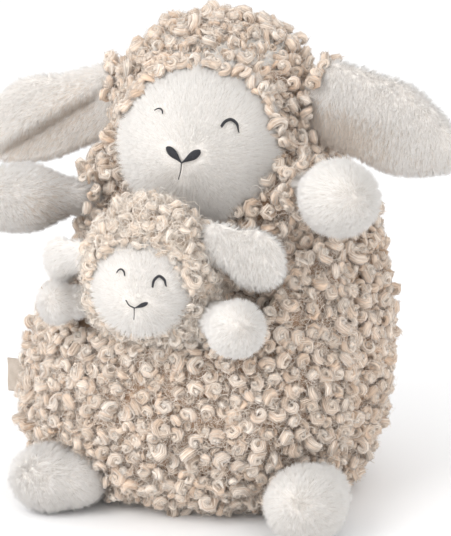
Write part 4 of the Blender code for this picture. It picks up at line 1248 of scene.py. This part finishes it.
# ---------------------------------------------------------------- lamb covers
lamb_heights = np.concatenate([np.linspace(16.2, LAMB_CROWN, 40), LAMB_CROWN + (LAMB_TOP - LAMB_CROWN) * np.sin(np.radians(np.linspace(0, 89, 20)[1:]))])
def lamb_inset(angle):
    return (2.8 - 2.0 * np.cos(np.radians(angle))) * smooth(90, 120, lamb_heights)[:, None]


around = np.linspace(0, 180, 50)[None]
lamb_back = Surface(lamb_point(around, lamb_heights[:, None], lamb_inset(around)) + np.array((0, 0.95, 0)), (LAMB_X, -80, 100))
around = np.linspace(0, -180, 60)[None]
lamb_front = Surface(lamb_point(around, lamb_heights[:, None], lamb_inset(around)) - np.array((0, 0.95, 0)), (LAMB_X, -80, 100))
lamb_front = Surface(sink(lamb_front.grid, LAMB_FACE, LAMB_FACE_RIM), (LAMB_X, -80, 100))
for name, node_name, surface in (("baby_back_ground", "baby_cover_back", lamb_back), ("baby_front_ground", "baby_cover_front", lamb_front)):
    made = surface.skin(name, SMALL_PLUSH)
    dress(made, LAMB_GROUND)
    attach(made, "lamb_body")
    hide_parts(node_name)


fill_heights = lamb_heights[:-1]
around = (np.arange(60) * 6.0)[None]
fill = lamb_point(around, fill_heights[:, None], lamb_inset(around)[:-1] + 4.0)
fill[..., 2] = np.minimum(fill[..., 2], LAMB_TOP - 7)
base, top = fill[0].mean(0), fill[-1].mean(0)
fill = np.concatenate([(base + (fill[0] - base) * 0.02)[None], fill, (top + (fill[-1] - top) * 0.02)[None]])
fill = Surface(sink(fill, LAMB_FACE, LAMB_FACE_RIM, 4.5), (LAMB_X, -80, 100), wrap=True)
made = fill.skin("baby_fill")
dress(made, FIBRE)
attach(made, "lamb_body")
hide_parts("baby_stuffing")


def lamb_keep(points, normals, place):
    d, ahead = face_distance(points, LAMB_FACE)
    in_face = (d < LAMB_FACE_RIM - 0.8) & (ahead > -16)
    return ~in_face & (points[:, 2] > 96)


for name, surface in (("baby_back_curls", lamb_back), ("baby_front_curls", lamb_front)):
    points, normals = plant(surface, SPACING * 0.69, lamb_keep, RNG)
    made = curl_piece(name, points, normals, RNG, size=0.95, fuzz=1.7, look=CURL_LAMB)
    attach(made, "lamb_body")
    frizz_piece(name.replace("curls", "frizz"), surface, lamb_keep, FRIZZ * 1.6, RNG, "lamb_body", 5.5)
    wisp_piece(name.replace("curls", "wisps"), surface, lamb_keep, WISPS * 3, RNG, "lamb_body", 1.5, 7.0, CURL_LAMB)
    print(name, len(points))


def bell_keep(points, normals, place):
    return (points[:, 2] < 99) & (points[:, 2] > 19)


for name, surface in (("baby_bell_back_curls", lamb_back), ("baby_bell_front_curls", lamb_front)):
    points, normals = plant(surface, SPACING * 0.85, bell_keep, RNG)
    made = curl_piece(name, points, normals, RNG, size=0.7, lift=-1.2, strands=9, look=CURL_LAMB)
    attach(made, "lamb_body")
    frizz_piece(name.replace("curls", "frizz"), surface, bell_keep, FRIZZ * 3.0, RNG, "lamb_body", 3.0)
    print(name, len(points))

# ---------------------------------------------------------------- locks that hang over the top of each face
def fringe(name, body, face, curve, rim, inset, low, high, step, size):
    angle = np.radians(np.arange(low, high, step) + RNG.uniform(-2, 2, len(np.arange(low, high, step))))
    r = rim - inset * np.sin(np.clip(angle, 0, math.pi)) + RNG.uniform(-1.3, 1.0, len(angle))
    points, out = dome_point(face, curve, rim, r * np.cos(angle), r * np.sin(angle), 0.3)
    radial = np.cos(angle)[:, None] * face[1] + np.sin(angle)[:, None] * face[2]
    made = curl_piece(name, points, unit(out * 0.6 + radial * 0.6), RNG, size=size, look=CURL_LAMB if "baby" in name else CURL)
    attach(made, body)


fringe("face_fringe_curls", "mother_body", *M, 3.6, 8, 178, 5.0, 1.05)
fringe("baby_face_fringe_curls", "lamb_body", *L, 0.5, 5, 180, 9.0, 0.9)

# ---------------------------------------------------------------- pouch lining
lu = np.linspace(-1, 1, 80)[None]
lv = np.linspace(0, 1, 60)[:, None]


def lining_grid(u, v):
    inset = POUCH_WALL + 1.3
    top = rim_height(pouch_point(u, 100.0 + 0 * u)[..., 0]) - 1.5
    z_wall = POUCH_CORNER + (top - POUCH_CORNER) * np.clip((v - 0.3) / 0.7, 0, 1)
    wall = pouch_point(u * 0.96 + 0 * v, z_wall, inset)
    turn = np.clip(v / 0.3, 0, 1) * math.pi / 2
    z = POUCH_FLOOR + (POUCH_CORNER - POUCH_FLOOR) * (1 - np.cos(turn)) + 0 * u
    low = pouch_point(u * (0.96 - 0.42 * np.cos(turn)), z, inset + 0.6 * np.cos(turn) + 0 * u)
    a, full, front_depth, yc, xc, power = body_section(z)
    share = np.minimum(0.96, np.abs((low[..., 0] - xc) / a))
    belly = np.maximum(yc - front_depth * (1 - share**power) ** (1 / power) - 3.4, low[..., 1] + 0.05)
    floor = stacked(low[..., 0], belly + (low[..., 1] - belly) * np.sin(turn), z)
    return np.where((v < 0.3)[..., None], floor, wall)


lining = Surface(lining_grid(lu, lv), (0, -66, 60))
made = lining.skin("pouch_lining_cloth", LINING)
dress(made, LINING_CLOTH)
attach(made, "mother_body")
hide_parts("pouch_lining")

# ---------------------------------------------------------------- side label: a blank woven tab, folded over
bpy.context.view_layer.update()
width, reach, fold = 21.0, 13.0, 0.55
turn = np.linspace(-90, 90, 9)
profile = [(0.0, -fold)] + [(x, -fold) for x in np.linspace(2, reach - fold, 8)]
profile += [(reach - fold + fold * math.cos(math.radians(a)), fold * math.sin(math.radians(a))) for a in turn[1:-1]]
profile += [(x, fold) for x in np.linspace(reach - fold, 2, 8)] + [(0.0, fold)]
profile = np.array(profile)
rows = np.linspace(-0.5, 0.5, 15)
wavy = 0.35 * np.sin(rows * 7.0)[:, None] * (profile[:, 0] / reach)[None] ** 2
x = -105.1 - profile[:, 0][None] + 0 * rows[:, None]
y = -37.5 + profile[:, 1][None] + wavy
z = 61 + rows[:, None] * width + 0 * profile[None, :, 0]
label = Surface(stacked(x, y, z), (-118, -37.5, 61))
made = label.skin("blank_side_label", 0.35)
dress(made, LABEL_CLOTH)
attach(made, "mother_body")
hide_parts("side_label")

# ---------------------------------------------------------------- floor, light and camera
floor_mesh = bpy.data.meshes.new("floor")
floor_mesh.from_pydata([(-9, -9, 0), (9, -9, 0), (9, 9, 0), (-9, 9, 0)], [], [(0, 1, 2, 3)])
floor = bpy.data.objects.new("floor", floor_mesh)
bpy.context.scene.collection.objects.link(floor)
paint, tree, shader = shader_of("floor_paint")
shader.inputs["Base Color"].default_value = (0.935, 0.935, 0.94, 1)
shader.inputs["Roughness"].default_value = 0.9
shader.inputs["Specular IOR Level"].default_value = 0.0
floor_mesh.materials.append(paint)


def area_light(name, place, aim, size, power, colour=(1, 1, 1)):
    data = bpy.data.lights.new(name, "AREA")
    data.shape = "DISK"
    data.size = size
    data.energy = power
    data.color = colour
    made = bpy.data.objects.new(name, data)
    made.location = place
    made.rotation_euler = (Vector(aim) - Vector(place)).to_track_quat("-Z", "Y").to_euler()
    bpy.context.scene.collection.objects.link(made)


area_light("key", (-0.75, -1.6, 1.3), (0, 0, 0.12), 1.4, 23)
area_light("fill", (1.6, -1.3, 0.9), (0, 0, 0.12), 1.6, 5.5)
world = bpy.data.worlds.new("studio")
world.use_nodes = True
world.node_tree.nodes["Background"].inputs[0].default_value = (1, 1, 1, 1)
world.node_tree.nodes["Background"].inputs[1].default_value = 1.10
bpy.context.scene.world = world

W, H, SIGHT, SCALE = 451, 536, 1.25, 0.617e-3
azimuth, elevation = math.radians(22), math.radians(14)
focal = SIGHT / SCALE
back = np.array((math.sin(azimuth) * math.cos(elevation), -math.cos(azimuth) * math.cos(elevation), math.sin(elevation)))
right = np.array((math.cos(azimuth), math.sin(azimuth), 0.0))
up = np.cross(back, right)
aim = np.zeros(3)
for _ in range(50):
    eye = aim + SIGHT * back
    depth = eye @ back
    at = (W / 2 - focal * (eye @ right) / depth, H / 2 + focal * (eye @ up) / depth)
    aim = aim + right * (at[0] - 209) * SCALE - up * (at[1] - 473) * SCALE
eye = aim + SIGHT * back
camera_data = bpy.data.cameras.new("camera")
camera_data.lens = focal * 36 / H
camera_data.sensor_width = 36
camera_data.clip_start, camera_data.clip_end = 0.05, 40
camera = bpy.data.objects.new("camera", camera_data)
camera.matrix_world = Matrix(
    ((right[0], up[0], back[0], eye[0]), (right[1], up[1], back[1], eye[1]), (right[2], up[2], back[2], eye[2]), (0, 0, 0, 1))
)
bpy.context.scene.collection.objects.link(camera)
bpy.context.scene.camera = camera
bpy.context.scene.view_settings.view_transform = "Standard"
bpy.context.scene.view_settings.look = "None"

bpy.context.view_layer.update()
faces = sum(len(o.data.loop_triangles) or len(o.data.polygons) for o in bpy.data.objects if o.type == "MESH")
print("faces", faces)
